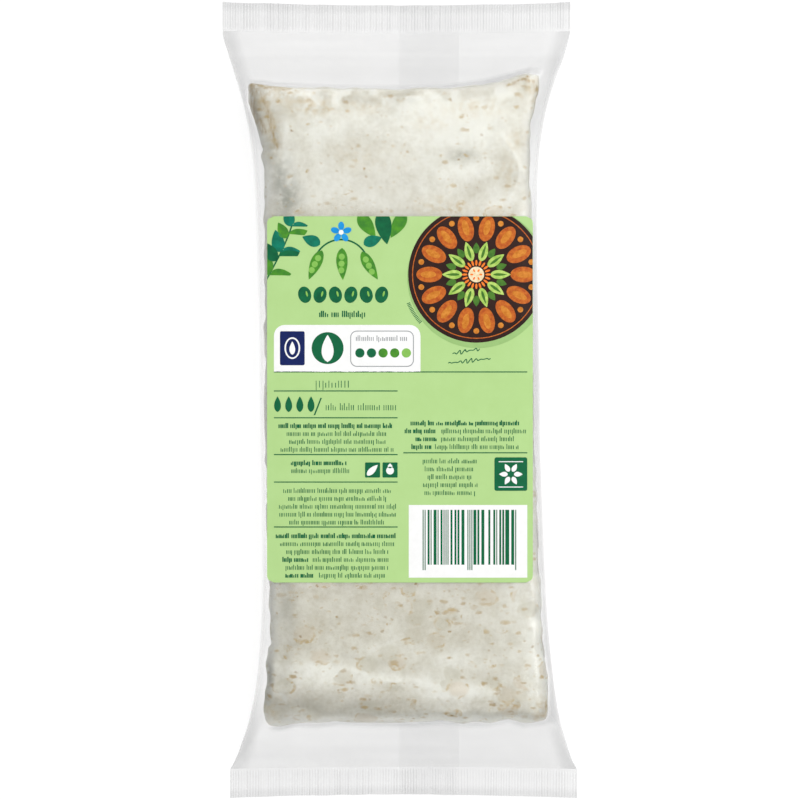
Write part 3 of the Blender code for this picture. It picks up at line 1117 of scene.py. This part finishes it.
def build_film_bag(settings, cake):
    face = film_half("film_bag", settings, face_z)
    back = film_half("film_back", settings, back_z)
    turn_over(back)
    pick(back, face)
    bpy.ops.object.join()
    edit(face)
    bpy.ops.mesh.remove_doubles(threshold=0.01 * MM)
    bpy.ops.mesh.normals_make_consistent(inside=False)
    close_edit()
    ripple_film(face, settings)
    wrap_outside(face, cake, settings.gap)
    points = get_points(face)
    points[:, 2] = np.maximum(points[:, 2], BACK_Z)
    set_points(face, points)
    paint(face, veil=film_veil(points, contact_with(cake, points)), gloss=film_gloss(points))
    finish_surface(face, film_material("cast_polypropylene_film", settings, 0.012, 0.28), 60)
    return face


def ribs(x, y, settings, seed):
    """Crimped ribs across a seal: 1 in a rib's groove, 0 between, each rib pressed unevenly."""
    place = rows_of(x, y * 0.1, 0)
    phase = x / settings.rib_pitch + value_noise(place, 6 * MM, seed) * 0.6
    pressed = np.random.default_rng(seed + 1).uniform(0.15, 1.0, 512)
    rib = np.floor(phase).astype(int) % len(pressed)
    groove = bell(phase - np.floor(phase), 0.5, 0.20)
    cluster = 0.68 + 0.32 * value_noise(place, 11 * MM, seed + 2)
    return groove * pressed[rib] * cluster


def build_end_seal(name, settings, end, seed):
    """One crimped end seal: two films pressed together between ribbed jaws."""
    seal, grid = add_grid(name, 620, 14)
    outward = (grid[:, 1] + 1) / 2
    along = SEAL_INNER_Y - SEAL_OVERLAP + (SEAL_HEIGHT + SEAL_OVERLAP) * outward
    y = end * along
    x = lean(end * SEAL_INNER_Y) + fold_half_width(y) * grid[:, 0]
    pressed = ease(along, SEAL_INNER_Y + 0.1 * MM, SEAL_INNER_Y + 1.6 * MM)
    groove = ribs(x, y, settings, seed) * pressed
    sag = SEAL_SAG * value_noise(rows_of(x, y, 0), 18 * MM, seed + 5) * pressed
    cut = SEAL_CUT_WAVE * value_noise(rows_of(x, 0, 0), 5 * MM, seed + 7) * outward
    set_points(seal, rows_of(x, y + bow(x, y) + cut, SEAL_Z - groove * settings.rib_height * 2 + sag))
    outer = ease(along, SEAL_EDGE_Y - 4.0 * MM, SEAL_EDGE_Y - 1.0 * MM)
    side = ease(np.abs(grid[:, 0]), 0.985, 1.0)
    # The top seal is greyer than the bottom one.
    plain = 0.128 if end > 0 else 0.090
    paint(seal, veil=plain + 0.17 * groove + 0.09 * outer + 0.03 * side, gloss=np.full(len(x), 0.12))
    if end < 0:
        turn_over(seal)
    thicken(seal, SEAL_FILM, 0)
    finish_surface(seal, film_material(name + "_crimped_film", settings, 0.01, 0.18), 50)
    return seal


def build_back_seam(settings):
    """The fin seam down the back, folded flat to one side."""
    seam, grid = add_grid("back_seam", 60, 300)
    y = SEAL_EDGE_Y * grid[:, 1] * 0.999
    inner = np.clip(y, -SEAL_INNER_Y, SEAL_INNER_Y)
    x = SEAM_FOLD_X + settings.seam_width * (grid[:, 0] + 1) / 2
    share = (x - lean(inner)) / fold_half_width(inner)
    set_points(seam, rows_of(x, y + bow(x, y), back_z(share, inner) - SEAM_DEPTH))
    thicken(seam, SEAM_FILM, 0)
    from_fold = get_points(seam)[:, 0] - SEAM_FOLD_X
    edges = np.minimum(from_fold, settings.seam_width - from_fold)
    veil = 0.008 - 0.005 * (1 - ease(edges, 0, 1.2 * MM))
    paint(seam, veil=veil, gloss=np.full(len(veil), 0.05))
    finish_surface(seam, film_material("folded_seam_film", settings, 0.0, 0.3), 50)
    return seam


# The label


def corner_half_width(offset, half, radius):
    """Half a rounded sheet's width at this distance from its nearer end."""
    drop = np.maximum(radius - offset, 0)
    return half - radius + np.sqrt(np.maximum(radius**2 - drop**2, 0))


def label_sizes():
    """The label's centre and half sizes, from its solid."""
    low, high = LABEL_LOW, LABEL_HIGH
    trim = 0.25 * MM
    return (low.x + high.x) / 2, (low.y + high.y) / 2, (high.x - low.x) / 2 - trim, (high.y - low.y) / 2


def build_label(settings, film):
    centre_x, centre_y, half_x, half_y = label_sizes()
    columns, rows = 92, 124
    label, grid = add_grid("label_sheet", columns, rows)
    # Rows close up at both ends, so that the corner arcs come out round.
    y = 0.93 * grid[:, 1] + 0.07 * np.sin(grid[:, 1] * math.pi / 2) ** 3
    x = centre_x + grid[:, 0] * corner_half_width(half_y * (1 - np.abs(y)), half_x, settings.corner)
    y = centre_y + half_y * y
    z = heights_over(film, x, y)
    order = np.lexsort((grid[:, 0], np.round(grid[:, 1], 6)))
    sheet = z[order].reshape(rows + 1, columns + 1)
    under = sheet.copy()
    # Paper is stiffer than film: it bridges the film's small dips.
    for _ in range(24):
        padded = np.pad(sheet, 1, mode="edge")
        mean = (padded[:-2, 1:-1] + padded[2:, 1:-1] + padded[1:-1, :-2] + padded[1:-1, 2:]) / 4
        sheet = np.maximum(mean, under)
    z[order] = sheet.reshape(-1)
    set_points(label, rows_of(x, y, z + LABEL_LIFT))
    thicken(label, settings.thickness, 1)
    paper = paper_material("satin_label_paper", settings.paper, settings.paper_shade, 9 * MM, 0.42)
    finish_surface(label, paper, 40)
    return label


# The label's print. Shapes are set out in millimetres from the middle of the pack, with angles in degrees.


def flat_piece(name, shapes):
    """A flat mesh filled inside closed outlines. An outline inside another one is a hole."""
    curve = bpy.data.curves.new(name, "CURVE")
    curve.dimensions = "2D"
    curve.fill_mode = "BOTH"
    for shape in shapes:
        spline = curve.splines.new("POLY")
        spline.points.add(len(shape) - 1)
        for point, (x, y) in zip(spline.points, shape):
            point.co = (x * MM, y * MM, 0, 1)
        spline.use_cyclic_u = True
    piece = bpy.data.objects.new(name, curve)
    bpy.context.scene.collection.objects.link(piece)
    pick(piece)
    bpy.ops.object.convert(target="MESH")
    return bpy.context.object


def stamp(name, boxes):
    """One square plane, copied to each (left, bottom, right, top) box."""
    pick()
    bpy.ops.mesh.primitive_plane_add(size=1)
    plane = added(name)
    corners = get_points(plane)[:, :2] + 0.5
    boxes = np.array(boxes) * MM
    low, high = boxes[:, None, :2], boxes[:, None, 2:]
    flat = low + (high - low) * corners[None]
    points = np.concatenate([flat, np.zeros(flat.shape[:2] + (1,))], axis=2).reshape(-1, 3)
    face = np.array(plane.data.polygons[0].vertices)
    faces = face[None, :] + 4 * np.arange(len(boxes))[:, None]
    plane.data.clear_geometry()
    plane.data.from_pydata(points.tolist(), [], faces.tolist())
    plane.data.update()
    return plane


def lay_on_label(piece, settings, label, layer):
    """Trims a flat print to the label, cuts it into cells and lays it on the paper as a layer of ink."""
    centre_x, centre_y, half_x, half_y = label_sizes()
    points = get_points(piece)
    low, high = points.min(0), points.max(0)
    cuts = [
        ((centre_x + half_x - INK_MARGIN, 0, 0), (1, 0, 0), True),
        ((centre_x - half_x + INK_MARGIN, 0, 0), (-1, 0, 0), True),
        ((0, centre_y + half_y - INK_MARGIN, 0), (0, 1, 0), True),
    ]
    for axis, normal in ((0, (1, 0, 0)), (1, (0, 1, 0))):
        for k in range(math.ceil(low[axis] / INK_CELL), math.ceil(high[axis] / INK_CELL)):
            cuts.append((tuple(k * INK_CELL * part for part in normal), normal, False))
    edit(piece)
    for place, normal, clear in cuts:
        bpy.ops.mesh.select_all(action="SELECT")
        bpy.ops.mesh.bisect(plane_co=place, plane_no=normal, clear_outer=clear)
    close_edit()
    x, y, _ = get_points(piece).T
    limit = corner_half_width(half_y - np.abs(y - centre_y), half_x - INK_MARGIN, settings.corner)
    x = centre_x + np.clip(x - centre_x, -limit, limit)
    set_points(piece, rows_of(x, y, heights_over(label, x, y) + INK_GAP + layer * INK_STEP))
    if sum(face.normal.z * face.area for face in piece.data.polygons) < 0:
        piece.data.flip_normals()
    thicken(piece, settings.ink_thickness, 1)


def print_layers(label, layers, draw=flat_piece):
    """Draws each layer's shapes, lays them on the label at their height, and gives them their ink."""
    settings = bpy.context.scene.tempeh_label
    for name, shapes, layer, ink in layers:
        piece = draw(name, shapes)
        lay_on_label(piece, settings, label, layer)
        piece.data.materials.append(bpy.data.materials[ink])
        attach(piece, BODY)


def box_shape(left, bottom, right, top):
    return [(left, bottom), (right, bottom), (right, top), (left, top)]


def arc_path(x, y, radius, start, end, steps=24):
    """Points along an arc."""
    turns = [math.radians(start + (end - start) * k / steps) for k in range(steps + 1)]
    return [(x + radius * math.cos(t), y + radius * math.sin(t)) for t in turns]


def round_box(left, bottom, right, top, radii):
    """A rectangle with its own radius at each corner: bottom left, bottom right, top right, top left."""
    corners = ((left, bottom, 1, 1), (right, bottom, -1, 1), (right, top, -1, -1), (left, top, 1, -1))
    shape = []
    for (x, y, inward_x, inward_y), radius, start in zip(corners, radii, (180, 270, 0, 90)):
        if radius:
            shape += arc_path(x + inward_x * radius, y + inward_y * radius, radius, start, start + 90, 6)
        else:
            shape.append((x, y))
    return shape


def placed(shape, x, y, angle):
    """A shape drawn about the origin, turned and moved."""
    cos, sin = math.cos(math.radians(angle)), math.sin(math.radians(angle))
    return [(x + a * cos - b * sin, y + a * sin + b * cos) for a, b in shape]


def oval(x, y, half_long, half_short, angle=0.0, steps=26):
    turns = [2 * math.pi * k / steps for k in range(steps)]
    return placed([(half_long * math.cos(t), half_short * math.sin(t)) for t in turns], x, y, angle)


def disc(x, y, radius, steps=40):
    return oval(x, y, radius, radius, 0.0, steps)


def leaf(x, y, size, width, angle, curl=0.0, steps=16):
    """A pointed leaf from its stalk at (x, y), with its tip curled aside."""
    rows = [(k / steps, width * math.sin(math.pi * (k / steps) ** 0.75) ** 0.85) for k in range(1, steps)]
    middle = [(size * t, curl * size * t * t, half) for t, half in rows]
    upper = [(a, b + half) for a, b, half in middle]
    lower = [(a, b - half) for a, b, half in reversed(middle)]
    return placed([(0, 0)] + upper + [(size, curl * size)] + lower, x, y, angle)


def band(path, width):
    """A band of even width along a list of points."""
    path = np.array(path, float)
    way = np.gradient(path, axis=0)
    way /= np.linalg.norm(way, axis=1)[:, None]
    side = np.stack([-way[:, 1], way[:, 0]], axis=1) * width / 2
    return [tuple(point) for point in np.concatenate([path + side, (path - side)[::-1]])]


def ring_of(many, x, y, radius, shape, sizes, shift=0.0, steps=16):
    """One shape drawn at even turns round a centre, each pointing outwards."""
    turns = [360 * (k + shift) / many for k in range(many)]
    return [shape(*placed([(radius, 0)], x, y, turn)[0], *sizes, turn, steps=steps) for turn in turns]


def greeked(left, right, base, x_height, weight, rng):
    """A line of greeked words: upright strokes in groups, with no letters in it."""
    boxes = []
    pitch = x_height * 0.45
    x = left
    strokes_left = rng.integers(4, 13)
    while x + weight < right:
        if strokes_left == 0:
            x += pitch
            strokes_left = rng.integers(3, 15)
            continue
        kind = rng.random()
        low, high = base, base + x_height
        if kind < 0.16:
            high += x_height * 0.38
        elif kind < 0.24:
            low -= x_height * 0.36
        elif kind < 0.36:
            high -= x_height * 0.30
        boxes.append((x, low, x + weight * rng.uniform(0.85, 1.15), high))
        x += pitch * rng.uniform(0.85, 1.2)
        strokes_left -= 1
    return boxes


def paragraph(centre, top_base, lines, widest, bold_lines, rng):
    """Centred greeked lines of uneven width: some bold throughout, and some with bold words first."""
    boxes = []
    for line in range(lines):
        half = widest / 2 * rng.uniform(0.80, 1.0)
        base = top_base - LINE_PITCH * line
        split = centre + half if line in bold_lines else centre - half
        if line and rng.random() < 0.3:
            split = centre - half + widest * rng.uniform(0.15, 0.3)
        boxes += greeked(centre - half, split, base, X_HEIGHT, BOLD_STROKE, rng)
        boxes += greeked(split + X_HEIGHT, centre + half, base, X_HEIGHT, THIN_STROKE, rng)
    return boxes


def print_sprigs(label):
    """Leafy sprigs, a soy flower with its pods, and a row of beans, in the greens of the label."""
    # The corner sprig climbs from the left edge to the top one, with a pair of leaves at each knot.
    stalk = [(-44.5 + 10.5 * math.sin(t), 39.5 + 19.0 * t) for t in np.linspace(0, 1.05, 22)]
    teal, dark, mid = [], [], []
    for k, (knot, leaves) in enumerate(((2, mid), (7, dark), (10, teal), (15, mid), (19, teal))):
        x, y = stalk[knot]
        side = 1 if k % 2 else -1
        leaves.append(leaf(x, y, 8.6 - k * 0.5, 2.5 - 0.15 * k, 62 - side * 48, 0.10 * side))
        leaves.append(leaf(x, y, 7.4 - k * 0.5, 2.2 - 0.15 * k, 62 + side * 66, -0.12 * side))

    # Three leaves hang from the top edge.
    hanging = [leaf(-13.5, 62.0, 9.6, 2.3, -62, 0.10), leaf(1.5, 62.5, 9.8, 2.2, -112, -0.1)]
    middle_leaf = [leaf(-6.0, 63.0, 11.5, 2.7, -86, 0.08)]

    # Pods hang from an arching stalk, with a flower where it bends.
    arch = arc_path(-19.5, 44.0, 9.2, 165, 20)
    wings = [leaf(-26.5, 51.5, 6.4, 1.9, 150, 0.1), leaf(-12.0, 51.5, 6.4, 1.9, 28, -0.1)]
    petals = ring_of(5, -19.5, 55.6, 2.1, oval, (1.45, 1.0), 0.25, 18)
    pods, beans_in_pods = [], []
    for x, y, turn in ((-25.8, 49.6, -118), (-19.2, 50.4, -92), (-12.6, 49.2, -64)):
        pods.append(leaf(x, y, 10.6, 1.9, turn, 0.06))
        for bean_x, bean_y in placed([(2.9, 0), (5.2, 0), (7.4, 0)], x, y, turn):
            beans_in_pods.append(oval(bean_x, bean_y, 1.05, 1.0, turn, 16))

    # The row of beans stands where a title would.
    title = [oval(-31.6 + 5.1 * k, 34.9, 2.15, 2.75, 14 * (-1) ** k) for k in range(6)]
    scars = [oval(-30.9 + 5.1 * k, 35.2, 0.32, 0.95, 14 * (-1) ** k, 14) for k in range(6)]

    print_layers(label, (
        ("print_stalks", [band(stalk, 0.5), band(arch, 0.55)], 0, "dark_green_ink"),
        ("print_teal_leaves", teal[:2] + wings[:1], 1, "teal_ink"),
        ("print_teal_leaves_over", teal[2:] + wings[1:], 2, "teal_ink"),
        ("print_dark_leaves", dark, 2, "dark_green_ink"),
        ("print_mid_leaves", mid + hanging, 1, "leaf_green_ink"),
        ("print_hanging_leaf", middle_leaf, 2, "dark_green_ink"),
        ("print_pods", pods, 1, "leaf_green_ink"),
        ("print_pod_beans", beans_in_pods, 2, "pale_green_ink"),
        ("print_flower", petals, 2, "petal_blue_ink"),
        ("print_flower_heart", [disc(-19.5, 55.6, 0.8, 20)], 3, "white_ink"),
        ("print_bean_row", title, 0, "dark_green_ink"),
        ("print_bean_scars", scars, 1, "pale_green_ink"),
    ))


def print_rosette(label):
    """A dark disc in the top right corner, with a rosette of beans, leaves and seeds."""
    x, y, radius = DISC_MM
    thin_ring = [disc(x, y, radius - 1.3, 64), disc(x, y, radius - 1.6, 64)[::-1]]
    seed_places = [placed([(18.7, 0)], x, y, 360 * (k + 0.5) / 14)[0] for k in range(14)]
    layers = [
        ("print_disc_shade", [disc(x + 0.5, y - 1.0, radius + 0.8, 72)], 0, "shade_ink"),
        ("print_disc", [disc(x, y, radius, 72)], 1, "dark_brown_ink"),
        ("print_disc_line", thin_ring, 2, "rust_ink"),
        ("print_heart", [disc(x, y, 2.6, 32)], 3, "cream_ink"),
        ("print_outer_seeds", [disc(*place, 0.95, 18) for place in seed_places], 2, "amber_ink"),
    ]
    # Each ring: how many shapes, its radius, the shape with its half sizes, its layer and its ink.
    for name, many, ring, shape, sizes, shift, steps, layer, ink in (
        ("print_outer_beans", 14, 15.6, oval, (4.3, 2.6), 0, 26, 2, "rust_ink"),
        ("print_bean_hearts", 14, 15.9, oval, (2.6, 1.1), 0, 20, 3, "amber_ink"),
        ("print_leaves", 10, 4.6, leaf, (6.8, 1.5), 0, 16, 2, "lime_ink"),
        ("print_leaf_veins", 10, 5.6, leaf, (4.6, 0.45), 0, 16, 3, "moss_ink"),
        ("print_small_leaves", 10, 7.0, leaf, (3.6, 1.1), 0.5, 16, 2, "moss_ink"),
        ("print_carrot_ring", 20, 3.9, oval, (0.95, 0.36), 0, 14, 3, "carrot_ink"),
        ("print_heart_seeds", 6, 1.5, oval, (0.55, 0.3), 0, 12, 4, "carrot_ink"),
    ):
        layers.append((name, ring_of(many, x, y, ring, shape, sizes, shift, steps), layer, ink))
    print_layers(label, layers)


def print_text(label):
    """Rules and greeked lines in dark green, leaves for a weight, and a plain flourish by the disc."""
    rng = np.random.default_rng(11)
    left, right, gutter, start = -41.8, 42.2, -0.8, 1.1
    middle, half_rule = (left + gutter) / 2, 0.17
    rules = [(left, right, 9.3), (start, right, -17.5)]
    rules += [(left, gutter, y) for y in (3.0, -5.9, -18.1, -27.2, -42.1)]
    boxes = [(first, y - half_rule, last, y + half_rule) for first, last, y in rules]
    for line in (
        (-26.8, -10.9, 27.5, 1.5, BOLD_STROKE),
        (-27.9, -15.0, 4.1, 2.3, THIN_STROKE),
        (-24.6, -1.0, -3.4, 1.7, THIN_STROKE),
    ):
        boxes += greeked(*line, rng)
    for lines in (
        (middle, -9.3, 4, 40.5, (0,)),
        (-26.8, -21.6, 2, 22.0, (0,)),
        (middle, -30.8, 5, 40.5, ()),
        (middle, -45.8, 6, 40.0, (0,)),
        ((start + right) / 2, -8.4, 4, 40.5, (0,)),
        (16.1, -21.0, 5, 20.0, ()),
    ):
        boxes += paragraph(*lines, rng)
    print_layers(label, (("print_text", boxes, 0, "text_green_ink"),), stamp)

    # A slant rule stands between four upright leaves and the smaller words after them.
    marks = [leaf(-40.6 + 3.7 * k, -4.0, 5.2, 1.15, 90) for k in range(4)]
    marks.append([(-28.6, -5.0), (-28.1, -5.0), (-25.9, 0.7), (-26.4, 0.7)])
    # Fine ticks run round the disc's lower left.
    x, y, _ = DISC_MM
    tick = [(23.8, 0), (24.4, 0), (25.0, 0)]
    marks += [band(placed(tick, x, y, turn), 0.25) for turn in np.arange(203, 221, 1.25)]
    flourishes = []
    for x, y, span, waves in ((17.4, 15.4, 9.0, 5), (16.0, 12.2, 14.0, 8)):
        path = []
        for k in range(waves * 10 + 1):
            t = k / (waves * 10)
            height = math.sin(2 * math.pi * waves * t) * (0.55 + 0.5 * math.sin(9 * t + x))
            path.append((x + span * t + 0.25 * height, y + 1.6 * t + 0.75 * height))
        flourishes.append(band(path, 0.3))
    print_layers(label, (
        ("print_leaf_marks", marks, 0, "text_green_ink"),
        ("print_flourish", flourishes, 0, "text_green_ink"),
    ))


def print_panels(label):
    """White panels, and plain badges of leaves, drops and dots on them."""
    panels = [round_box(-41.8, 9.3, 6.8, 24.9, (0, 0, 3.6, 3.6)), box_shape(2.9, -58.9, 42.2, -34.8)]
    frame_outer = round_box(-16.5, 11.0, 4.6, 23.0, (2.2,) * 4)
    frame_inner = round_box(-16.2, 11.3, 4.3, 22.7, (1.9,) * 4)
    dots = [disc(-13.3 + 3.85 * k, 15.6, 1.55, 24) for k in range(5)]
    squares = [
        round_box(-11.6, -25.7, -6.6, -20.7, (0.3,) * 4),
        round_box(-5.8, -25.7, -0.8, -20.7, (0.3,) * 4),
        round_box(31.3, -30.1, 42.2, -19.0, (0.7,) * 4),
    ]
    square_marks = [
        leaf(-10.9, -25.0, 5.0, 1.0, 45),
        disc(-3.3, -23.4, 1.3, 20),
        leaf(-3.3, -22.7, 1.7, 0.75, 90),
        *ring_of(6, 36.75, -24.6, 1.0, leaf, (2.9, 0.8)),
        box_shape(32.7, -20.6, 40.8, -20.3),
        box_shape(32.7, -29.0, 40.8, -28.7),
    ]
    badge_marks = [
        oval(-35.7, 17.2, 2.6, 3.6, 0, 30),
        oval(-35.7, 17.2, 2.1, 3.1, 0, 30)[::-1],
        leaf(-35.7, 15.0, 4.4, 0.95, 90),
        leaf(-24.0, 12.6, 9.0, 2.0, 90),
    ]
    print_layers(label, (
        ("print_panels", panels, 0, "white_ink"),
        ("print_navy_badge", [round_box(-39.8, 11.5, -31.6, 22.8, (0.6,) * 4)], 1, "navy_ink"),
        ("print_round_badge", [disc(-24.0, 17.2, 5.3, 44)], 1, "text_green_ink"),
        ("print_badge_marks", badge_marks, 2, "white_ink"),
        ("print_frame", [frame_outer, frame_inner[::-1]], 1, "grey_ink"),
        ("print_dots_dark", dots[:2], 1, "text_green_ink"),
        ("print_dots_mid", dots[2:4], 1, "leaf_green_ink"),
        ("print_dots_pale", dots[4:], 1, "pale_green_ink"),
        ("print_squares", squares, 0, "text_green_ink"),
        ("print_square_marks", square_marks, 1, "white_ink"),
    ))
    words = greeked(-14.6, 2.6, 19.6, 1.3, 0.3, np.random.default_rng(5))
    print_layers(label, (("print_frame_line", words, 1, "grey_ink"),), stamp)


def print_bars(label):
    """Bars of a made-up code: random widths, and no number under them."""
    rng = np.random.default_rng(23)
    module, top, bottom, guard_bottom = 0.33, -36.4, -54.6, -56.4
    total, middle_start, middle_end, guard = 95, 45, 50, 3
    x, dark, done, boxes = 7.5, True, 0, []
    while done < total:
        at_guard = done < guard or middle_start <= done < middle_end or done >= total - guard
        width = 1
        if not at_guard:
            width = int(min(rng.choice((1, 2, 3, 4), p=(0.46, 0.31, 0.15, 0.08)), total - guard - done))
        if done < middle_start:
            width = min(width, middle_start - done)
        if dark:
            boxes.append((x, guard_bottom if at_guard else bottom, x + width * module, top))
        x += width * module
        done += width
        dark = not dark
    print_layers(label, (("print_bars", boxes, 1, "text_green_ink"),), stamp)


# The stage


def area_light(name, place, aim, width, height, power):
    pick()
    bpy.ops.object.light_add(type="AREA", location=place)
    light = bpy.context.object
    light.name = name
    light.rotation_euler = (Vector(aim) - Vector(place)).to_track_quat("-Z", "Y").to_euler()
    light.data.shape = "RECTANGLE"
    light.data.size = width
    light.data.size_y = height
    light.data.energy = power


def floor_material(settings):
    """A white acrylic sheet lit from below, which also takes a little light from above."""
    material, tree = new_material("backlit_white_acrylic")
    matt = add_node(tree, "BsdfDiffuse", {"Color": srgb("#7F7F7F")})
    glow = add_node(tree, "Emission", {"Color": srgb("#FFFFFF"), "Strength": settings.floor_glow})
    both = add_node(tree, "AddShader", {0: matt, 1: glow})
    add_node(tree, "OutputMaterial", {0: both})
    return material


def light_room(settings):
    """An even white room, whose walls are brighter than its ceiling."""
    world = bpy.data.worlds.new("even_white_room")
    bpy.context.scene.world = world
    world.use_nodes = True
    tree = world.node_tree
    direction = add_node(tree, "TexCoord").outputs["Generated"]
    height = add_node(tree, "SeparateXYZ", {0: direction}).outputs[2]
    strength = add_node(
        tree, "MapRange",
        {
            "Value": height,
            "From Min": 0.10,
            "From Max": 0.45,
            "To Min": settings.walls,
            "To Max": settings.sky,
        },
    )
    background = tree.nodes["Background"]
    background.inputs["Color"].default_value = srgb("#FFFFFF")
    tree.links.new(strength.outputs[0], background.inputs["Strength"])


def build_stage(settings):
    pick()
    bpy.ops.mesh.primitive_plane_add(size=6)
    floor = added("floor")
    floor.data.materials.append(floor_material(settings))
    light_room(settings)
    middle = (0, 0, 10 * MM)
    area_light("key_softbox", (0.40, 0.50, 1.05), middle, 1.2, 1.2, settings.key_power)
    area_light("overhead_strip", (-0.10, -0.75, 1.05), middle, 0.9, 0.45, settings.fill_power)

    mid_height = FACE_Z / 2
    pick()
    bpy.ops.object.camera_add(location=(0, 0, mid_height + settings.camera_distance), rotation=(0, 0, 0))
    camera = bpy.context.object
    camera.name = "front_camera"
    camera.data.sensor_width = 36
    camera.data.lens = camera.data.sensor_width * settings.camera_distance / settings.view_width
    camera.data.clip_end = 20
    bpy.context.scene.camera = camera
    bpy.context.scene.view_settings.view_transform = "Standard"


# Operators


class TEMPEH_OT_cake(Operator):
    """Make the block of tempeh"""

    bl_idname = "tempeh.cake"
    bl_label = "Tempeh Cake"

    def execute(self, context):
        cake = build_cake(context.scene.tempeh_cake)
        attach(cake, BODY)
        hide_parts("film_pack")
        return {"FINISHED"}


class TEMPEH_OT_film(Operator):
    """Make the clear bag with its crimped end seals and its back seam"""

    bl_idname = "tempeh.film"
    bl_label = "Film Bag"

    def execute(self, context):
        settings = context.scene.tempeh_film
        bag = build_film_bag(settings, bpy.data.objects["tempeh_cake"])
        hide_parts("film_pack")
        pieces = [bag, build_back_seam(settings)]
        pieces.append(build_end_seal("top_seal", settings, 1, 51))
        pieces.append(build_end_seal("bottom_seal", settings, -1, 67))
        for piece in pieces:
            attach(piece, BODY)
        return {"FINISHED"}


class TEMPEH_OT_label(Operator):
    """Make the label's paper"""

    bl_idname = "tempeh.label"
    bl_label = "Label"

    def execute(self, context):
        label = build_label(context.scene.tempeh_label, bpy.data.objects["film_bag"])
        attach(label, BODY)
        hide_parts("label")
        return {"FINISHED"}


class TEMPEH_OT_print(Operator):
    """Print the label: rules and greeked text, sprigs, a rosette, badges and a made-up bar code"""

    bl_idname = "tempeh.print"
    bl_label = "Label Print"

    def execute(self, context):
        label = bpy.data.objects["label_sheet"]
        settings = context.scene.tempeh_label
        chosen = {
            "text_green_ink": settings.text,
            "white_ink": settings.white,
            "dark_brown_ink": settings.disc,
        }
        for name, (first, second, patch_mm, roughness) in INKS.items():
            paper_material(name, chosen.get(name, srgb(first)), srgb(second), patch_mm * MM, roughness)
        for draw in (print_sprigs, print_rosette, print_text, print_panels, print_bars):
            draw(label)
        return {"FINISHED"}


class TEMPEH_OT_stage(Operator):
    """Set up the floor, the lights and the camera"""

    bl_idname = "tempeh.stage"
    bl_label = "Stage"

    def execute(self, context):
        build_stage(context.scene.tempeh_stage)
        return {"FINISHED"}


OPERATORS = (TEMPEH_OT_cake, TEMPEH_OT_film, TEMPEH_OT_label, TEMPEH_OT_print, TEMPEH_OT_stage)
GROUPS = {
    "tempeh_cake": TempehCakeSettings,
    "tempeh_film": FilmSettings,
    "tempeh_label": LabelSettings,
    "tempeh_stage": StageSettings,
}


class TEMPEH_PT_panel(Panel):
    """Lists the pieces of the pack and their settings"""

    bl_label = "Tempeh Pack"
    bl_idname = "TEMPEH_PT_panel"
    bl_space_type = "VIEW_3D"
    bl_region_type = "UI"
    bl_category = "Tempeh"

    def draw(self, context):
        for operator in OPERATORS:
            self.layout.operator(operator.bl_idname)
        for group in GROUPS:
            settings = getattr(context.scene, group)
            box = self.layout.box()
            for field in settings.bl_rna.properties.keys()[2:]:
                box.prop(settings, field)


CLASSES = (*GROUPS.values(), *OPERATORS, TEMPEH_PT_panel)


def register():
    for kind in CLASSES:
        bpy.utils.register_class(kind)
    for name, group in GROUPS.items():
        setattr(bpy.types.Scene, name, PointerProperty(type=group))


def unregister():
    for name in GROUPS:
        delattr(bpy.types.Scene, name)
    for kind in reversed(CLASSES):
        bpy.utils.unregister_class(kind)


def main():
    register()
    for operator in OPERATORS:
        module, name = operator.bl_idname.split(".")
        getattr(getattr(bpy.ops, module), name)()


if __name__ == "__main__":
    main()
